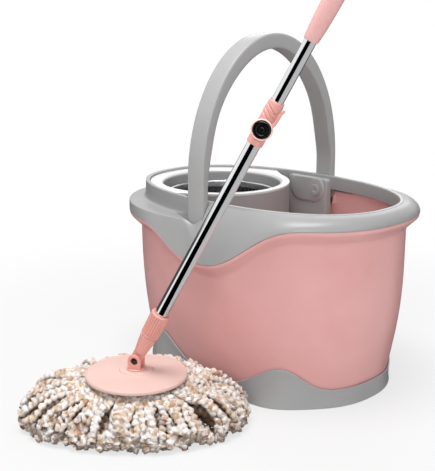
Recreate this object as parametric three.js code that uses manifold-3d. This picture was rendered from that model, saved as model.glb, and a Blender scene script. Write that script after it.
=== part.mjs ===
// Spin mop set: an oval wash-and-spin bucket with a carrying handle, a spinning wringer basket,
// and a telescopic mop with a tilting round head.
// Millimetres, +Z up. The origin is the centre of the bucket's flat underside, +X runs along the
// bucket towards the wash end, and the mop stands on the -Y side.
import * as THREE from 'three';
import { mergeVertices } from 'three/addons/utils/BufferGeometryUtils.js';
import Module from 'manifold-3d';

const wasm = await Module();
wasm.setup();

// ---------------------------------------------------------------- driving dimensions
const SEAT_GAP = 0.3; // between pieces that seat on each other
const RUN_GAP = 0.5; // between pieces that turn or slide on each other
const OVAL_STEPS = 60;

const bucket = {
  rimHalfLength: 210, rimHalfWidth: 134, rimHeight: 273,
  flangeHalfLength: 228.5, flangeHalfWidth: 166,
  squareness: 2.3, wall: 2.8, floorThickness: 3,
  washBoundary: 256, spinBoundary: 231, // height of the frame's lower edge at the two ends
  apronBoundary: 193, apronX: 15, washRun: 162, spinRun: 128, // the frame's dip under the handle
  shoulderDrop: 21,
  ledgeHeight: 247, ledgeEnd: -58, slopeStart: -18, // ledge on the spin side, slope on the other
};
const frame = { skin: 2.6, backing: 3.4, rimBand: 6, lipWall: 2.4, lipDepth: 21, tuckRow: 3 };
const base = {
  plate: 3, halfLength: 196, halfWidth: 152, waist: 138, wall: 2.6,
  endRise: 27, sideRise: 17,
  lobes: [{ turn: 54, rise: 36 }, { turn: 114, rise: 45 }], lobeSpread: 16, // degrees round the oval
};
const handle = {
  pivotX: -5, pivotZ: 250, halfWidth: 146, apex: 490, spring: 360, strap: 30, thickness: 11, arch: 2.4,
  bossRadius: 15, stubRadius: 6, legRoom: 1.6, fold: 74, foldReach: 100,
};
const panel = { before: 30, after: 24, inner: 118, low: 204, high: 268, bossRadius: 21, bossProud: 2 };
const clip = { radius: 11, thickness: 3 };
const basket = {
  rimRadius: 83, bottomRadius: 74, top: 252, bottom: 146, wall: 1.2, rimBead: 2.1,
  holeRows: 4, holesPerRow: 16, holeRadius: 3,
};
const spinner = {
  x: -95.5, opening: basket.rimRadius + 6, throat: basket.rimRadius + 14, deck: 4, deckDrop: 3.5,
  guardRadius: basket.rimRadius + 21, guardWall: 2.6, guardBottom: 150, throatDepth: 22,
};
const spindle = {
  radius: 4, footHeight: 20, postTop: 120, postRadius: 17, postFoot: 34, bushRadius: 8, bushHeight: 14,
};
const mop = {
  x: 16.6, y: -276, thickness: 65, hole: 40, facing: 44.3,
  reach: { left: 158, right: 151, front: 103, back: 117 }, // the strands lie pushed against the bucket
  plateRadius: 67, plateRim: 66.5, plateCrown: 72, plateWall: 2.2, bossRadius: 23, bossRise: 1.4,
  ringRadius: 58, pile: 8, // how much higher the strands stand against the bucket
};
const joint = {
  height: 86, facing: 28, lean: 28.2, earRadius: 8.7, footRadius: 13, pinRadius: 3.2, tongue: 7.4, ear: 5.4,
  eyeRadius: 4.8, eyeDepth: 2.4,
};
const pole = {
  neckLength: 40, neckRadius: 11.4, collarLength: 35, collarFoot: 12.2, collarTop: 13.2, flutes: 20,
  lowerDiameter: 17.2, tubeWall: 0.7, tubeFit: 0.35, upperStart: 170, upperVisible: 79, gripLength: 236,
  sleeveStart: 330, sleeveLength: 58, sleeveWall: 1.3,
};
const lock = {
  facing: 7.4, height: 22, bossRadius: 12.2, bossFace: 10.6, capRadius: 11, pinRadius: 2.6, eyeRadius: 13.2,
  leverThickness: 2.6, armLength: 33, armReach: 12,
};
const drive = {
  pitch: 80, facet: 3, width: 7, thickness: 2.2, slotFit: 0.55, nutLength: 14, rodEnd: 352, stop: 4,
};

const DEG = Math.PI / 180;

// ---------------------------------------------------------------- shape helpers
function signedVolume(positions, triangles) {
  let volume = 0;
  for (const [a, b, c] of triangles) {
    volume += positions[a].dot(positions[b].clone().cross(positions[c])) / 6;
  }
  return volume;
}

// A closed surface through rings of points: capped at both ends, or joined end to end when looped.
function skinRings(rings, looped = false) {
  const count = rings[0].length;
  const positions = rings.flat();
  const triangles = [];
  const last = looped ? rings.length : rings.length - 1;
  for (let row = 0; row < last; row += 1) {
    const next = (row + 1) % rings.length;
    for (let i = 0; i < count; i += 1) {
      const j = (i + 1) % count;
      const [a, b, c, d] = [row * count + i, row * count + j, next * count + j, next * count + i];
      triangles.push([a, b, c], [a, c, d]);
    }
  }
  if (!looped) {
    for (const [row, flip] of [[0, true], [rings.length - 1, false]]) {
      const centre = new THREE.Vector3();
      for (const point of rings[row]) centre.addScaledVector(point, 1 / count);
      positions.push(centre);
      for (let i = 0; i < count; i += 1) {
        const a = row * count + i;
        const b = row * count + (i + 1) % count;
        triangles.push(flip ? [positions.length - 1, b, a] : [positions.length - 1, a, b]);
      }
    }
  }
  if (signedVolume(positions, triangles) < 0) triangles.forEach((triangle) => triangle.reverse());
  const geometry = new THREE.BufferGeometry().setFromPoints(positions);
  geometry.setIndex(triangles.flat());
  return geometry;
}

function toSolid(geometry) {
  const bare = geometry.clone();
  bare.deleteAttribute('normal');
  bare.deleteAttribute('uv');
  const merged = mergeVertices(bare, 1e-4);
  return new wasm.Manifold(new wasm.Mesh({
    numProp: 3,
    vertProperties: new Float32Array(merged.attributes.position.array),
    triVerts: new Uint32Array(merged.index.array),
  }));
}

function toGeometry(solid) {
  const mesh = solid.getMesh();
  const geometry = new THREE.BufferGeometry();
  geometry.setAttribute('position', new THREE.BufferAttribute(new Float32Array(mesh.vertProperties), 3));
  geometry.setIndex(new THREE.BufferAttribute(new Uint32Array(mesh.triVerts), 1));
  return geometry;
}

const cut = (body, ...tools) => tools.reduce((left, tool) => left.subtract(tool), body);
const join = (first, ...rest) => rest.reduce((left, piece) => left.add(piece), first);

// Solid of revolution about Z; the profile is a list of [radius, height] that starts and ends on
// the axis or closes on itself.
function turned(profile, steps = 28) {
  const points = profile.map(([radius, height]) => new THREE.Vector2(radius, height));
  if (THREE.ShapeUtils.area(points) < 0) points.reverse();
  return toSolid(new THREE.LatheGeometry(points, steps).rotateX(Math.PI / 2));
}

function tubeProfile(inner, outer, low, high) {
  return [[inner, low], [outer, low], [outer, high], [inner, high], [inner, low]];
}

// Cylinder along Z between two heights.
function rod(radius, low, high, steps = 24) {
  return turned([[0, low], [radius, low], [radius, high], [0, high]], steps);
}

// Outline in the XY plane pulled up along Z.
function pulled(outline, low, high) {
  const shape = new THREE.Shape(outline.map(([x, y]) => new THREE.Vector2(x, y)));
  const geometry = new THREE.ExtrudeGeometry(shape, { depth: high - low, bevelEnabled: false });
  return toSolid(geometry.translate(0, 0, low));
}

function block([x0, y0, z0], [x1, y1, z1]) {
  const geometry = new THREE.BoxGeometry(x1 - x0, y1 - y0, z1 - z0);
  return toSolid(geometry.translate((x0 + x1) / 2, (y0 + y1) / 2, (z0 + z1) / 2));
}

// Outline in the XZ plane pulled along Y.
const pulledAcross = (outline, nearY, farY) => pulled(outline, -farY, -nearY).rotate([90, 0, 0]);

// Cylinder along Y between two places.
const rodAcross = (radius, nearY, farY, steps = 24) => rod(radius, -farY, -nearY, steps).rotate([90, 0, 0]);

function smootherStep(value) {
  const t = THREE.MathUtils.clamp(value, 0, 1);
  return t * t * t * (t * (6 * t - 15) + 10);
}

// ---------------------------------------------------------------- the bucket's oval
function ovalPoint(turn, halfLength, halfWidth, squareness = bucket.squareness) {
  const power = 2 / squareness;
  const bend = (value) => Math.sign(value) * Math.abs(value) ** power;
  return [halfLength * bend(Math.cos(turn)), halfWidth * bend(Math.sin(turn))];
}

const turns = Array.from({ length: OVAL_STEPS }, (_, i) => (i * 2 * Math.PI) / OVAL_STEPS);

// Height of the seam where the frame's lower edge meets the bucket wall.
function seamHeight(x) {
  const isWash = x > bucket.apronX;
  const end = isWash ? bucket.washBoundary : bucket.spinBoundary;
  const run = isWash ? bucket.washRun : bucket.spinRun;
  const side = smootherStep(Math.abs(x - bucket.apronX) / run);
  return bucket.apronBoundary + (end - bucket.apronBoundary) * side;
}

// The frame's outer skin at one turn of the oval, as [outward distance from the rim, height].
// The spin side has an upright collar and a ledge; the wash side is one convex slope.
function frameProfile(turn) {
  const [x, y] = ovalPoint(turn, bucket.rimHalfLength, bucket.rimHalfWidth);
  const [fx, fy] = ovalPoint(turn, bucket.flangeHalfLength, bucket.flangeHalfWidth);
  const reach = Math.hypot(fx - x, fy - y);
  const seam = seamHeight(fx);
  const top = bucket.rimHeight - 1.5;
  const ledge = bucket.ledgeHeight;
  const stepped = [
    [0, top], [0.4, top - 9], [0.9, ledge + 8], [2.4, ledge + 2.5], [6.5, ledge + 0.4],
    [reach * 0.62, ledge - 0.8], [reach - 2.6, ledge - 2], [reach, ledge - 4.6], [reach, seam],
  ];
  const rows = stepped.length - 1;
  const blend = smootherStep((x - bucket.ledgeEnd) / (bucket.slopeStart - bucket.ledgeEnd));
  return stepped.map(([outward, height], row) => {
    const t = row / rows;
    const arc = t * Math.PI / 2;
    const slopeOut = reach * (0.5 * t + 0.5 * Math.sin(arc));
    const slopeHeight = top - (top - seam) * (0.6 * t + 0.4 * (1 - Math.cos(arc)));
    return [outward + (slopeOut - outward) * blend, height + (slopeHeight - height) * blend];
  });
}

// The same profile moved inwards by a distance along its own normal.
function insetProfile(profile, distance) {
  return profile.map(([outward, height], row) => {
    const before = profile[Math.max(row - 1, 0)];
    const after = profile[Math.min(row + 1, profile.length - 1)];
    const along = new THREE.Vector2(after[0] - before[0], after[1] - before[1]).normalize();
    return [outward + along.y * distance, height - along.x * distance];
  });
}

// Places [outward distance, height] pairs in space at one turn of the oval.
function placeProfile(turn, profile) {
  const [x, y] = ovalPoint(turn, bucket.rimHalfLength, bucket.rimHalfWidth);
  const [fx, fy] = ovalPoint(turn, bucket.flangeHalfLength, bucket.flangeHalfWidth);
  const reach = Math.hypot(fx - x, fy - y);
  const [ux, uy] = [(fx - x) / reach, (fy - y) / reach];
  return profile.map(([outward, height]) => new THREE.Vector3(x + ux * outward, y + uy * outward, height));
}

// Columns of points, one per turn, become rings that run round the oval.
function ringsFromColumns(columns) {
  return columns[0].map((_, row) => columns.map((column) => column[row]));
}


// A closed band round the oval, from one column of section points per turn.
const ovalBand = (columnAt) => toSolid(skinRings(ringsFromColumns(turns.map(columnAt)), true));

// Solid that fills everything inside the frame's outer skin.
function frameEnvelope() {
  return toSolid(skinRings(ringsFromColumns(turns.map((turn) => placeProfile(turn, frameProfile(turn))))));
}

// Room that one handle leg needs: a round seat for its end, and the fan that the strap sweeps as
// the handle folds down over the spin side.
function handleRecess(side, grow = 0) {
  const seat = handle.bossRadius + handle.legRoom + grow;
  const sweep = (handle.fold + 2) * DEG;
  const corner = [-Math.cos(sweep) * seat, -Math.sin(sweep) * seat];
  const { foldReach } = handle;
  const tip = [corner[0] - Math.sin(sweep) * foldReach, corner[1] + Math.cos(sweep) * foldReach];
  const above = bucket.rimHeight - handle.pivotZ + 30;
  const fan = [[0, 0], [seat, 0], [seat, above], [tip[0], above], tip, corner];
  const inner = handle.halfWidth - handle.thickness - RUN_GAP - grow;
  const outer = bucket.flangeHalfWidth + 10;
  const [near, far] = side < 0 ? [-outer, -inner] : [inner, outer];
  return join(pulledAcross(fan, near, far), rodAcross(seat, near, far, 28))
    .translate([handle.pivotX, 0, handle.pivotZ]);
}

// ---------------------------------------------------------------- bucket pieces
// Half length and half width of the tub wall at a height below its shoulder.
const wallStations = [[3, 189, 131], [30, 194, 135], [45, 196.5, 137.5], [70, 201.6, 140], [110, 208, 143],
  [150, 210.5, 146], [190, 211, 148]];

function wallSize(height) {
  const last = wallStations.length - 1;
  const upper = wallStations.findIndex(([z]) => z >= height);
  if (upper === 0) return wallStations[0].slice(1);
  if (upper < 0) return wallStations[last].slice(1);
  const [low, high] = [wallStations[upper - 1], wallStations[upper]];
  const t = (height - low[0]) / (high[0] - low[0]);
  return [low[1] + (high[1] - low[1]) * t, low[2] + (high[2] - low[2]) * t];
}

// The tub wall's outer face at one turn, from the floor up past the shoulder to the hidden top
// edge, which runs a little inside the frame's skin.
function tubColumn(turn, inset) {
  const seam = seamHeight(ovalPoint(turn, bucket.flangeHalfLength, bucket.flangeHalfWidth)[0]);
  const crease = seam - bucket.shoulderDrop;
  const place = (height, sizeHeight, widen = 0) => {
    const [halfLength, halfWidth] = wallSize(sizeHeight);
    const [x, y] = ovalPoint(turn, halfLength + widen - inset, halfWidth + widen - inset);
    return new THREE.Vector3(x, y, height);
  };
  const foot = base.plate + SEAT_GAP;
  const column = [foot, foot + 27, 60, 90, 125, crease - 4].map((height) => place(height, height));
  column.push(place(crease, crease, 1.6));
  column.push(place(crease + 4, crease, 3.6));
  const skin = insetProfile(frameProfile(turn), inset + 0.6);
  const hidden = insetProfile(frameProfile(turn), inset + frame.skin + 1);
  const [edgeOut, edgeHeight] = skin[skin.length - 1];
  column.push(...placeProfile(turn, [[edgeOut, edgeHeight - 5], [edgeOut, edgeHeight - 0.4]]));
  const tucked = hidden.slice(frame.tuckRow, -1).reverse();
  column.push(...placeProfile(turn, [[hidden[hidden.length - 1][0], edgeHeight - 0.4], ...tucked]));
  return column;
}

// The frame: a rim band with an inner lip, and the skin that falls from it to the seam.
function frameColumn(turn) {
  const outer = frameProfile(turn);
  const inner = insetProfile(outer, frame.skin);
  const seam = outer[outer.length - 1][1];
  inner[inner.length - 1][1] = seam;
  const [band, wall] = [-frame.rimBand, -frame.rimBand + frame.lipWall];
  const top = bucket.rimHeight;
  const lip = [[wall, top - 6], [wall, top - frame.lipDepth], [band, top - frame.lipDepth],
    [band, top - 1.5], [band + 1.2, top], [-1.2, top]];
  return placeProfile(turn, [...outer, ...inner.slice(1).reverse(), ...lip]);
}

// Inner panel with a round boss, on which one handle leg turns.
function pivotPanel(side, grow = 0) {
  const inner = panel.inner - grow;
  const boss = inner - panel.bossProud;
  const outer = bucket.flangeHalfWidth;
  const [low, high] = [panel.low - grow, panel.high + grow];
  const [left, right] = [handle.pivotX - panel.before - grow, handle.pivotX + panel.after + grow];
  const [near, far] = side < 0 ? [-outer, -inner] : [inner, outer];
  const [bossNear, bossFar] = side < 0 ? [-outer, -boss] : [boss, outer];
  const disc = rodAcross(panel.bossRadius + grow, bossNear, bossFar, 28)
    .translate([handle.pivotX, 0, handle.pivotZ]);
  const lid = block([left, bossNear, low], [right, bossFar, high]);
  return join(block([left, near, low], [right, far, high]), disc.intersect(lid));
}

function upperFrame() {
  const backing = [-1, 1].map((side) => join(handleRecess(side, frame.backing), pivotPanel(side)));
  const solid = join(ovalBand(frameColumn), frameEnvelope().intersect(join(...backing)));
  const bearing = rodAcross(handle.stubRadius + RUN_GAP, -bucket.flangeHalfWidth, bucket.flangeHalfWidth)
    .translate([handle.pivotX, 0, handle.pivotZ]);
  return cut(solid, handleRecess(-1), handleRecess(1), bearing);
}

function bucketShell() {
  const outer = ringsFromColumns(turns.map((turn) => tubColumn(turn, 0)));
  const inner = ringsFromColumns(turns.map((turn) => tubColumn(turn, bucket.wall)));
  inner[0].forEach((point) => point.setZ(point.z + bucket.floorThickness));
  const shell = toSolid(skinRings([...outer, ...inner.reverse()]));
  const room = frame.backing + 0.6;
  const fixings = [-1, 1].flatMap((side) => [handleRecess(side, room), pivotPanel(side, 1)]);
  return cut(shell, ...fixings);
}

// The base tray's outer or inner face at one turn: it hugs the tub at its wavy top edge and
// swells outwards at its foot, most of all under the four corner lobes.
function baseColumn(turn) {
  const around = Math.abs(Math.atan2(Math.sin(turn), Math.cos(turn))) / DEG;
  const shares = base.lobes.map((lobe) => Math.exp(-(((around - lobe.turn) / base.lobeSpread) ** 2)));
  const valley = base.sideRise + (base.endRise - base.sideRise) * Math.cos(turn) ** 2;
  const crest = base.lobes.reduce((height, lobe, i) => height + lobe.rise * shares[i], valley);
  const swell = Math.min(1, shares[0] + shares[1]);
  const footWidth = base.waist + (base.halfWidth - base.waist) * swell;
  const [, tubLength, tubWidth] = wallStations[0];
  const place = (height, inset) => {
    const [halfLength, halfWidth] = wallSize(height);
    const flare = (1 - Math.min(1, height / crest)) ** 1.6;
    const clear = RUN_GAP + base.wall;
    const growLength = (base.halfLength - tubLength - clear) * flare + clear - inset;
    const growWidth = (footWidth - tubWidth - clear) * flare + clear - inset;
    const [x, y] = ovalPoint(turn, halfLength + growLength, halfWidth + growWidth);
    return new THREE.Vector3(x, y, height);
  };
  const rises = [0.25, 0.5, 0.75, 1].map((share) => base.plate + (crest - base.plate) * share);
  const outside = [0, base.plate, ...rises].map((height) => place(height, 0));
  const inside = [...rises.reverse(), base.plate].map((height) => place(height, base.wall));
  return [...outside, ...inside];
}

const baseTray = () => toSolid(skinRings(ringsFromColumns(turns.map(baseColumn))));

// ---------------------------------------------------------------- spinner
// Deck outline about the spinner's axis: round on the wash side, out to the frame's lip on the
// other.
function deckOutline() {
  const reach = frame.rimBand + SEAT_GAP;
  const [halfLength, halfWidth] = [bucket.rimHalfLength - reach, bucket.rimHalfWidth - reach];
  const power = bucket.squareness;
  return Array.from({ length: 72 }, (_, i) => {
    const angle = (i * 2 * Math.PI) / 72;
    const [ux, uy] = [Math.cos(angle), Math.sin(angle)];
    const isOutside = (radius) => (Math.abs(spinner.x + ux * radius) / halfLength) ** power
      + (Math.abs(uy * radius) / halfWidth) ** power > 1;
    const turnedBack = Math.abs(Math.atan2(uy, ux)) / DEG;
    const wanted = spinner.guardRadius + 60 * smootherStep((turnedBack - 60) / 70);
    let radius = wanted;
    while (isOutside(radius)) radius -= 0.05;
    return [spinner.x + ux * radius, uy * radius];
  });
}

function spinnerHousing() {
  const top = bucket.rimHeight - spinner.deckDrop;
  const { opening, throat, guardRadius, guardWall, guardBottom } = spinner;
  const deck = pulled(deckOutline(), top - spinner.deck, top);
  const guardInner = guardRadius - guardWall;
  const guard = turned(tubeProfile(guardInner, guardRadius, guardBottom, top - 1), 48);
  const funnel = turned([[opening, top - spinner.throatDepth], [opening + 2.4, top - spinner.throatDepth],
    [opening + 2.4, top - 9], [throat + 2.4, top - 1], [throat, top], [opening, top - 6],
    [opening, top - spinner.throatDepth]], 48);
  const hole = turned([[0, top - spinner.deck - 9], [opening, top - spinner.deck - 9], [opening, top - 6],
    [throat, top], [throat, top + 1], [0, top + 1]], 48);
  const placed = [guard, funnel, hole].map((solid) => solid.translate([spinner.x, 0, 0]));
  return join(cut(deck, placed[2]), placed[0], placed[1]);
}

function basketCup() {
  const { rimRadius, bottomRadius, top, bottom, wall, rimBead } = basket;
  const cup = turned([[spindle.radius + SEAT_GAP, bottom], [bottomRadius - 4, bottom],
    [bottomRadius, bottom + 4], [rimRadius - 1, top - 2], [rimRadius + rimBead - 1, top - 2],
    [rimRadius + rimBead, top], [rimRadius - 1, top + 1.4], [rimRadius - 1 - wall, top - 2],
    [bottomRadius - wall, bottom + 4 + wall / 2], [bottomRadius - 4 - wall / 2, bottom + wall],
    [spindle.radius + SEAT_GAP, bottom + wall], [spindle.radius + SEAT_GAP, bottom]], 48);
  const drill = rod(basket.holeRadius, bottomRadius - 12, rimRadius + 12, 6).rotate([0, 90, 0]);
  const rise = (top - bottom - 24) / (basket.holeRows - 1);
  const holes = [];
  for (let row = 0; row < basket.holeRows; row += 1) {
    for (let i = 0; i < basket.holesPerRow; i += 1) {
      const angle = ((i + (row % 2) / 2) * 360) / basket.holesPerRow;
      holes.push(drill.translate([0, 0, bottom + 12 + row * rise]).rotate([0, 0, angle]));
    }
  }
  return cut(cup, ...holes).translate([spinner.x, 0, 0]);
}

// Round boss that clamps the basket's floor to the spindle.
function basketHub() {
  const floor = basket.bottom + basket.wall + SEAT_GAP;
  const bore = spindle.radius + SEAT_GAP;
  const low = turned([[bore, floor], [26, floor], [24, floor + 5], [14, floor + 9], [12, floor + 22],
    [9, floor + 25], [bore, floor + 25], [bore, floor]], 28);
  return low.translate([spinner.x, 0, 0]);
}

function spindleNut() {
  const floor = basket.bottom + basket.wall + SEAT_GAP + 25 + SEAT_GAP;
  return turned([[0, floor], [7.5, floor], [7.5, floor + 3], [5, floor + 5], [0, floor + 5.5]], 6)
    .translate([spinner.x, 0, 0]);
}

const floorTop = base.plate + SEAT_GAP + bucket.floorThickness;

function basketSpindle() {
  const top = basket.bottom + basket.wall + SEAT_GAP + 25;
  const collarTop = basket.bottom - SEAT_GAP;
  return turned([[0, spindle.footHeight], [spindle.radius, spindle.footHeight],
    [spindle.radius, collarTop - 6], [14, collarTop - 4], [14, collarTop], [spindle.radius, collarTop],
    [spindle.radius, top], [0, top]], 24).translate([spinner.x, 0, 0]);
}

function spindlePost() {
  const bore = spindle.bushRadius + SEAT_GAP;
  const foot = floorTop + SEAT_GAP;
  const seat = spindle.postTop - spindle.bushHeight;
  return turned([[0, foot], [spindle.postFoot, foot], [spindle.postFoot, foot + 5],
    [spindle.postRadius + 6, foot + 14], [spindle.postRadius, foot + 30],
    [spindle.postRadius - 3, spindle.postTop], [bore, spindle.postTop], [bore, seat],
    [spindle.radius + 1.5, seat], [spindle.radius + 1.5, foot + 8],
    [0, foot + 8]], 28).translate([spinner.x, 0, 0]);
}

function spindleBush() {
  const bore = spindle.radius + RUN_GAP;
  const seat = spindle.postTop - spindle.bushHeight + SEAT_GAP;
  const high = spindle.postTop + SEAT_GAP;
  return turned([[bore, seat], [spindle.bushRadius, seat], [spindle.bushRadius, high],
    [spindle.bushRadius + 3, high], [spindle.bushRadius + 3, high + 3], [bore, high + 3],
    [bore, seat]], 24).translate([spinner.x, 0, 0]);
}

// ---------------------------------------------------------------- carrying handle
function archOutline(inset) {
  const halfWidth = handle.halfWidth - inset;
  const spring = handle.spring;
  const rise = handle.apex - spring - inset;
  const power = 2 / handle.arch;
  const bend = (value) => Math.sign(value) * Math.abs(value) ** power;
  return Array.from({ length: 41 }, (_, i) => {
    const angle = (i * Math.PI) / 40;
    return [halfWidth * bend(Math.cos(angle)), spring + rise * bend(Math.sin(angle))];
  });
}

function handleBail() {
  const outer = archOutline(0);
  const inner = archOutline(handle.thickness).reverse();
  const legs = [[-handle.halfWidth, handle.pivotZ], [-handle.halfWidth + handle.thickness, handle.pivotZ]];
  const feet = [[handle.halfWidth - handle.thickness, handle.pivotZ], [handle.halfWidth, handle.pivotZ]];
  const half = handle.strap / 2;
  const strap = pulled([...outer, ...legs, ...inner, ...feet], -half, half)
    .rotate([90, 0, 0]).rotate([0, 0, 90]);
  const shoulder = handle.halfWidth - handle.thickness;
  const reach = shoulder - panel.inner + panel.bossProud - SEAT_GAP;
  const ends = [-1, 1].flatMap((side) => {
    const [near, far] = side < 0 ? [-handle.halfWidth, -shoulder] : [shoulder, handle.halfWidth];
    const [tip, root] = side < 0 ? [-shoulder - 1, -shoulder + reach] : [shoulder - reach, shoulder + 1];
    return [rodAcross(handle.bossRadius, near, far, 28), rodAcross(handle.stubRadius, tip, root)];
  });
  return join(strap, ...ends.map((solid) => solid.translate([0, 0, handle.pivotZ])))
    .translate([handle.pivotX, 0, 0]);
}

// Round clip that keeps a handle stub in its panel.
function handleClip(side) {
  const face = panel.inner - panel.bossProud - 2 * SEAT_GAP;
  const [near, far] = side < 0 ? [-face, -face + clip.thickness] : [face - clip.thickness, face];
  return rodAcross(clip.radius, near, far).translate([handle.pivotX, 0, handle.pivotZ]);
}

// ---------------------------------------------------------------- mop head
function mopStrands() {
  const steps = 44;
  const facing = mop.facing * DEG;
  const section = [[0, 6], [0.18, 1.5], [0.85, 0.6], [0.97, 6], [1, 17], [0.97, 32], [0.85, 46], [0.5, 58],
    [0.2, mop.thickness - 3.3], [0.05, 56], [0, 35]];
  const { left, right, front, back } = mop.reach;
  const columns = Array.from({ length: steps }, (_, i) => {
    const angle = (i * 2 * Math.PI) / steps;
    const [across, along] = [Math.cos(angle), Math.sin(angle)];
    const reach = 1 / Math.hypot(across / (across > 0 ? right : left), along / (along > 0 ? back : front));
    return section.map(([share, height]) => {
      const radius = mop.hole + (reach - mop.hole) * share;
      const pile = height > 20 && share > 0.6 ? mop.pile * Math.max(0, along) : 0;
      return new THREE.Vector3(radius * Math.cos(angle), radius * Math.sin(angle), height + pile);
    });
  });
  const rings = columns[0].map((_, row) => columns.map((column) => column[row]));
  return toSolid(skinRings(rings, true)).rotate([0, 0, facing / DEG]).translate([mop.x, mop.y, 0]);
}

function refillRing() {
  const low = mop.thickness - 3;
  const [inner, outer] = [mop.hole + 4, mop.ringRadius];
  const seat = mop.plateCrown - 1.4 - mop.plateWall - SEAT_GAP;
  return turned([[inner, low], [outer, low], [outer, low + 3], [inner + 7, low + 4],
    [inner + 6, seat - 1.6], [inner, seat - 0.3], [inner, low]], 40).translate([mop.x, mop.y, 0]);
}

function mopPlate() {
  const { plateRadius: radius, plateRim: rim, plateCrown: crown, plateWall: wall } = mop;
  const low = rim - 3;
  const boss = crown + mop.bossRise;
  return turned([[0, boss], [mop.bossRadius - 1, boss], [mop.bossRadius, boss - 0.8],
    [mop.bossRadius, crown - 0.4], [44, crown - 1.4], [58, crown - 3.4], [radius - 3, rim + 1.4],
    [radius - 2, rim + 1.7], [radius, rim], [radius, low], [radius - wall, low],
    [radius - wall, rim - 1.4], [57, crown - 3.4 - wall], [44, crown - 1.4 - wall], [20, crown - 0.2 - wall],
    [0, crown - wall]], 40).translate([mop.x, mop.y, 0]);
}

// Stadium outline in the XZ plane: a round eye at the origin and a flat foot below it.
function earOutline(radius, foot, spread) {
  const arc = Array.from({ length: 17 }, (_, i) => {
    const angle = (i * Math.PI) / 16;
    return [radius * Math.cos(angle), radius * Math.sin(angle)];
  });
  return [...arc, [-spread, -foot], [spread, -foot]];
}

const crownTop = mop.plateCrown + mop.bossRise + SEAT_GAP;
const toHinge = (solid) => solid.rotate([0, 0, joint.facing]).translate([mop.x, mop.y, joint.height]);
const earFace = joint.tongue / 2 + RUN_GAP;

function hingeFoot() {
  const foot = joint.height - crownTop;
  const pad = joint.footRadius;
  const disc = turned([[0, -foot], [pad, -foot], [pad, -foot + 1.2], [pad - 1.2, -foot + 2.4],
    [0, -foot + 2.4]], 28);
  const ears = [-1, 1].map((side) => {
    const [near, far] = side < 0 ? [-earFace - joint.ear, -earFace] : [earFace, earFace + joint.ear];
    return pulledAcross(earOutline(joint.earRadius, foot - 1.2, joint.earRadius), near, far);
  });
  const outside = earFace + joint.ear;
  const bore = rodAcross(joint.pinRadius + SEAT_GAP, -outside - 1, outside + 1);
  const eyes = [[-outside - 1, -outside + joint.eyeDepth], [outside - joint.eyeDepth, outside + 1]]
    .map(([near, far]) => rodAcross(joint.eyeRadius, near, far));
  return toHinge(cut(join(disc, ...ears), bore, ...eyes));
}

function hingePin() {
  const seat = earFace + joint.ear - joint.eyeDepth + SEAT_GAP;
  const head = joint.pinRadius + 1.1;
  const shank = rodAcross(joint.pinRadius, -seat - 0.5, seat + 0.5);
  return toHinge(join(shank, rodAcross(head, -seat - 1, -seat), rodAcross(head, seat, seat + 1)));
}

// ---------------------------------------------------------------- pole, built upright from the hinge
const leanPole = (solid) => toHinge(solid.rotate([0, joint.lean, 0]));
const lowerOuter = pole.lowerDiameter / 2;
const lowerInner = lowerOuter - pole.tubeWall;
const upperOuter = lowerInner - pole.tubeFit;
const upperInner = upperOuter - pole.tubeWall;
const collarTop = pole.neckLength + pole.collarLength;
const plugLow = collarTop + 3;
const plugHigh = plugLow + 14;
const sleeveTop = pole.sleeveStart + pole.sleeveLength;
const discHeight = pole.sleeveStart + lock.height;
const leanLock = (solid) => leanPole(solid.rotate([0, 0, lock.facing]));
const gripStart = sleeveTop + pole.upperVisible;
const gripEnd = gripStart + pole.gripLength;

function neck() {
  const knuckle = joint.earRadius - 0.4;
  const eye = pulledAcross(earOutline(knuckle, -16, knuckle - 1), -joint.tongue / 2, joint.tongue / 2);
  const wide = pole.neckRadius;
  const top = pole.neckLength;
  const spigot = lowerInner - SEAT_GAP;
  const body = turned([[0, 11.5], [7.4, 11.5], [8.6, 14], [wide, top - 4], [wide, top - 2.6],
    [wide - 1, top - 2], [wide - 1, top], [spigot, top], [spigot, collarTop], [0, collarTop]], 28);
  const bore = rodAcross(joint.pinRadius + RUN_GAP, -20, 20);
  return leanPole(cut(join(eye, body), bore));
}

// Collar round the lower tube, fluted lengthwise for grip.
function ribbedCollar() {
  const low = pole.neckLength + SEAT_GAP;
  const count = pole.flutes * 4;
  const ring = (height, radius, depth) => Array.from({ length: count }, (_, i) => {
    const angle = (i * 2 * Math.PI) / count;
    const ridge = radius - (i % 4 === 0 ? depth : 0);
    return new THREE.Vector3(ridge * Math.cos(angle), ridge * Math.sin(angle), height);
  });
  const { collarFoot, collarTop: collarHead } = pole;
  const rings = [ring(low, collarFoot - 0.6, 0), ring(low + 1.2, collarFoot, 0),
    ring(low + 2.2, collarFoot, 0.7), ring(collarTop - 3.4, collarHead, 0.7),
    ring(collarTop - 2.4, collarHead, 0), ring(collarTop, collarHead - 1.2, 0)];
  const bore = rod(lowerOuter + SEAT_GAP, low - 1, collarTop + 1, 28);
  return leanPole(cut(toSolid(skinRings(rings)), bore));
}

const lowerTube = () => leanPole(turned(tubeProfile(lowerInner, lowerOuter, pole.neckLength + SEAT_GAP,
  pole.sleeveStart + 24), 28));
function upperTube() {
  return leanPole(turned(tubeProfile(upperInner, upperOuter, pole.upperStart, gripEnd - 16), 28));
}

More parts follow.
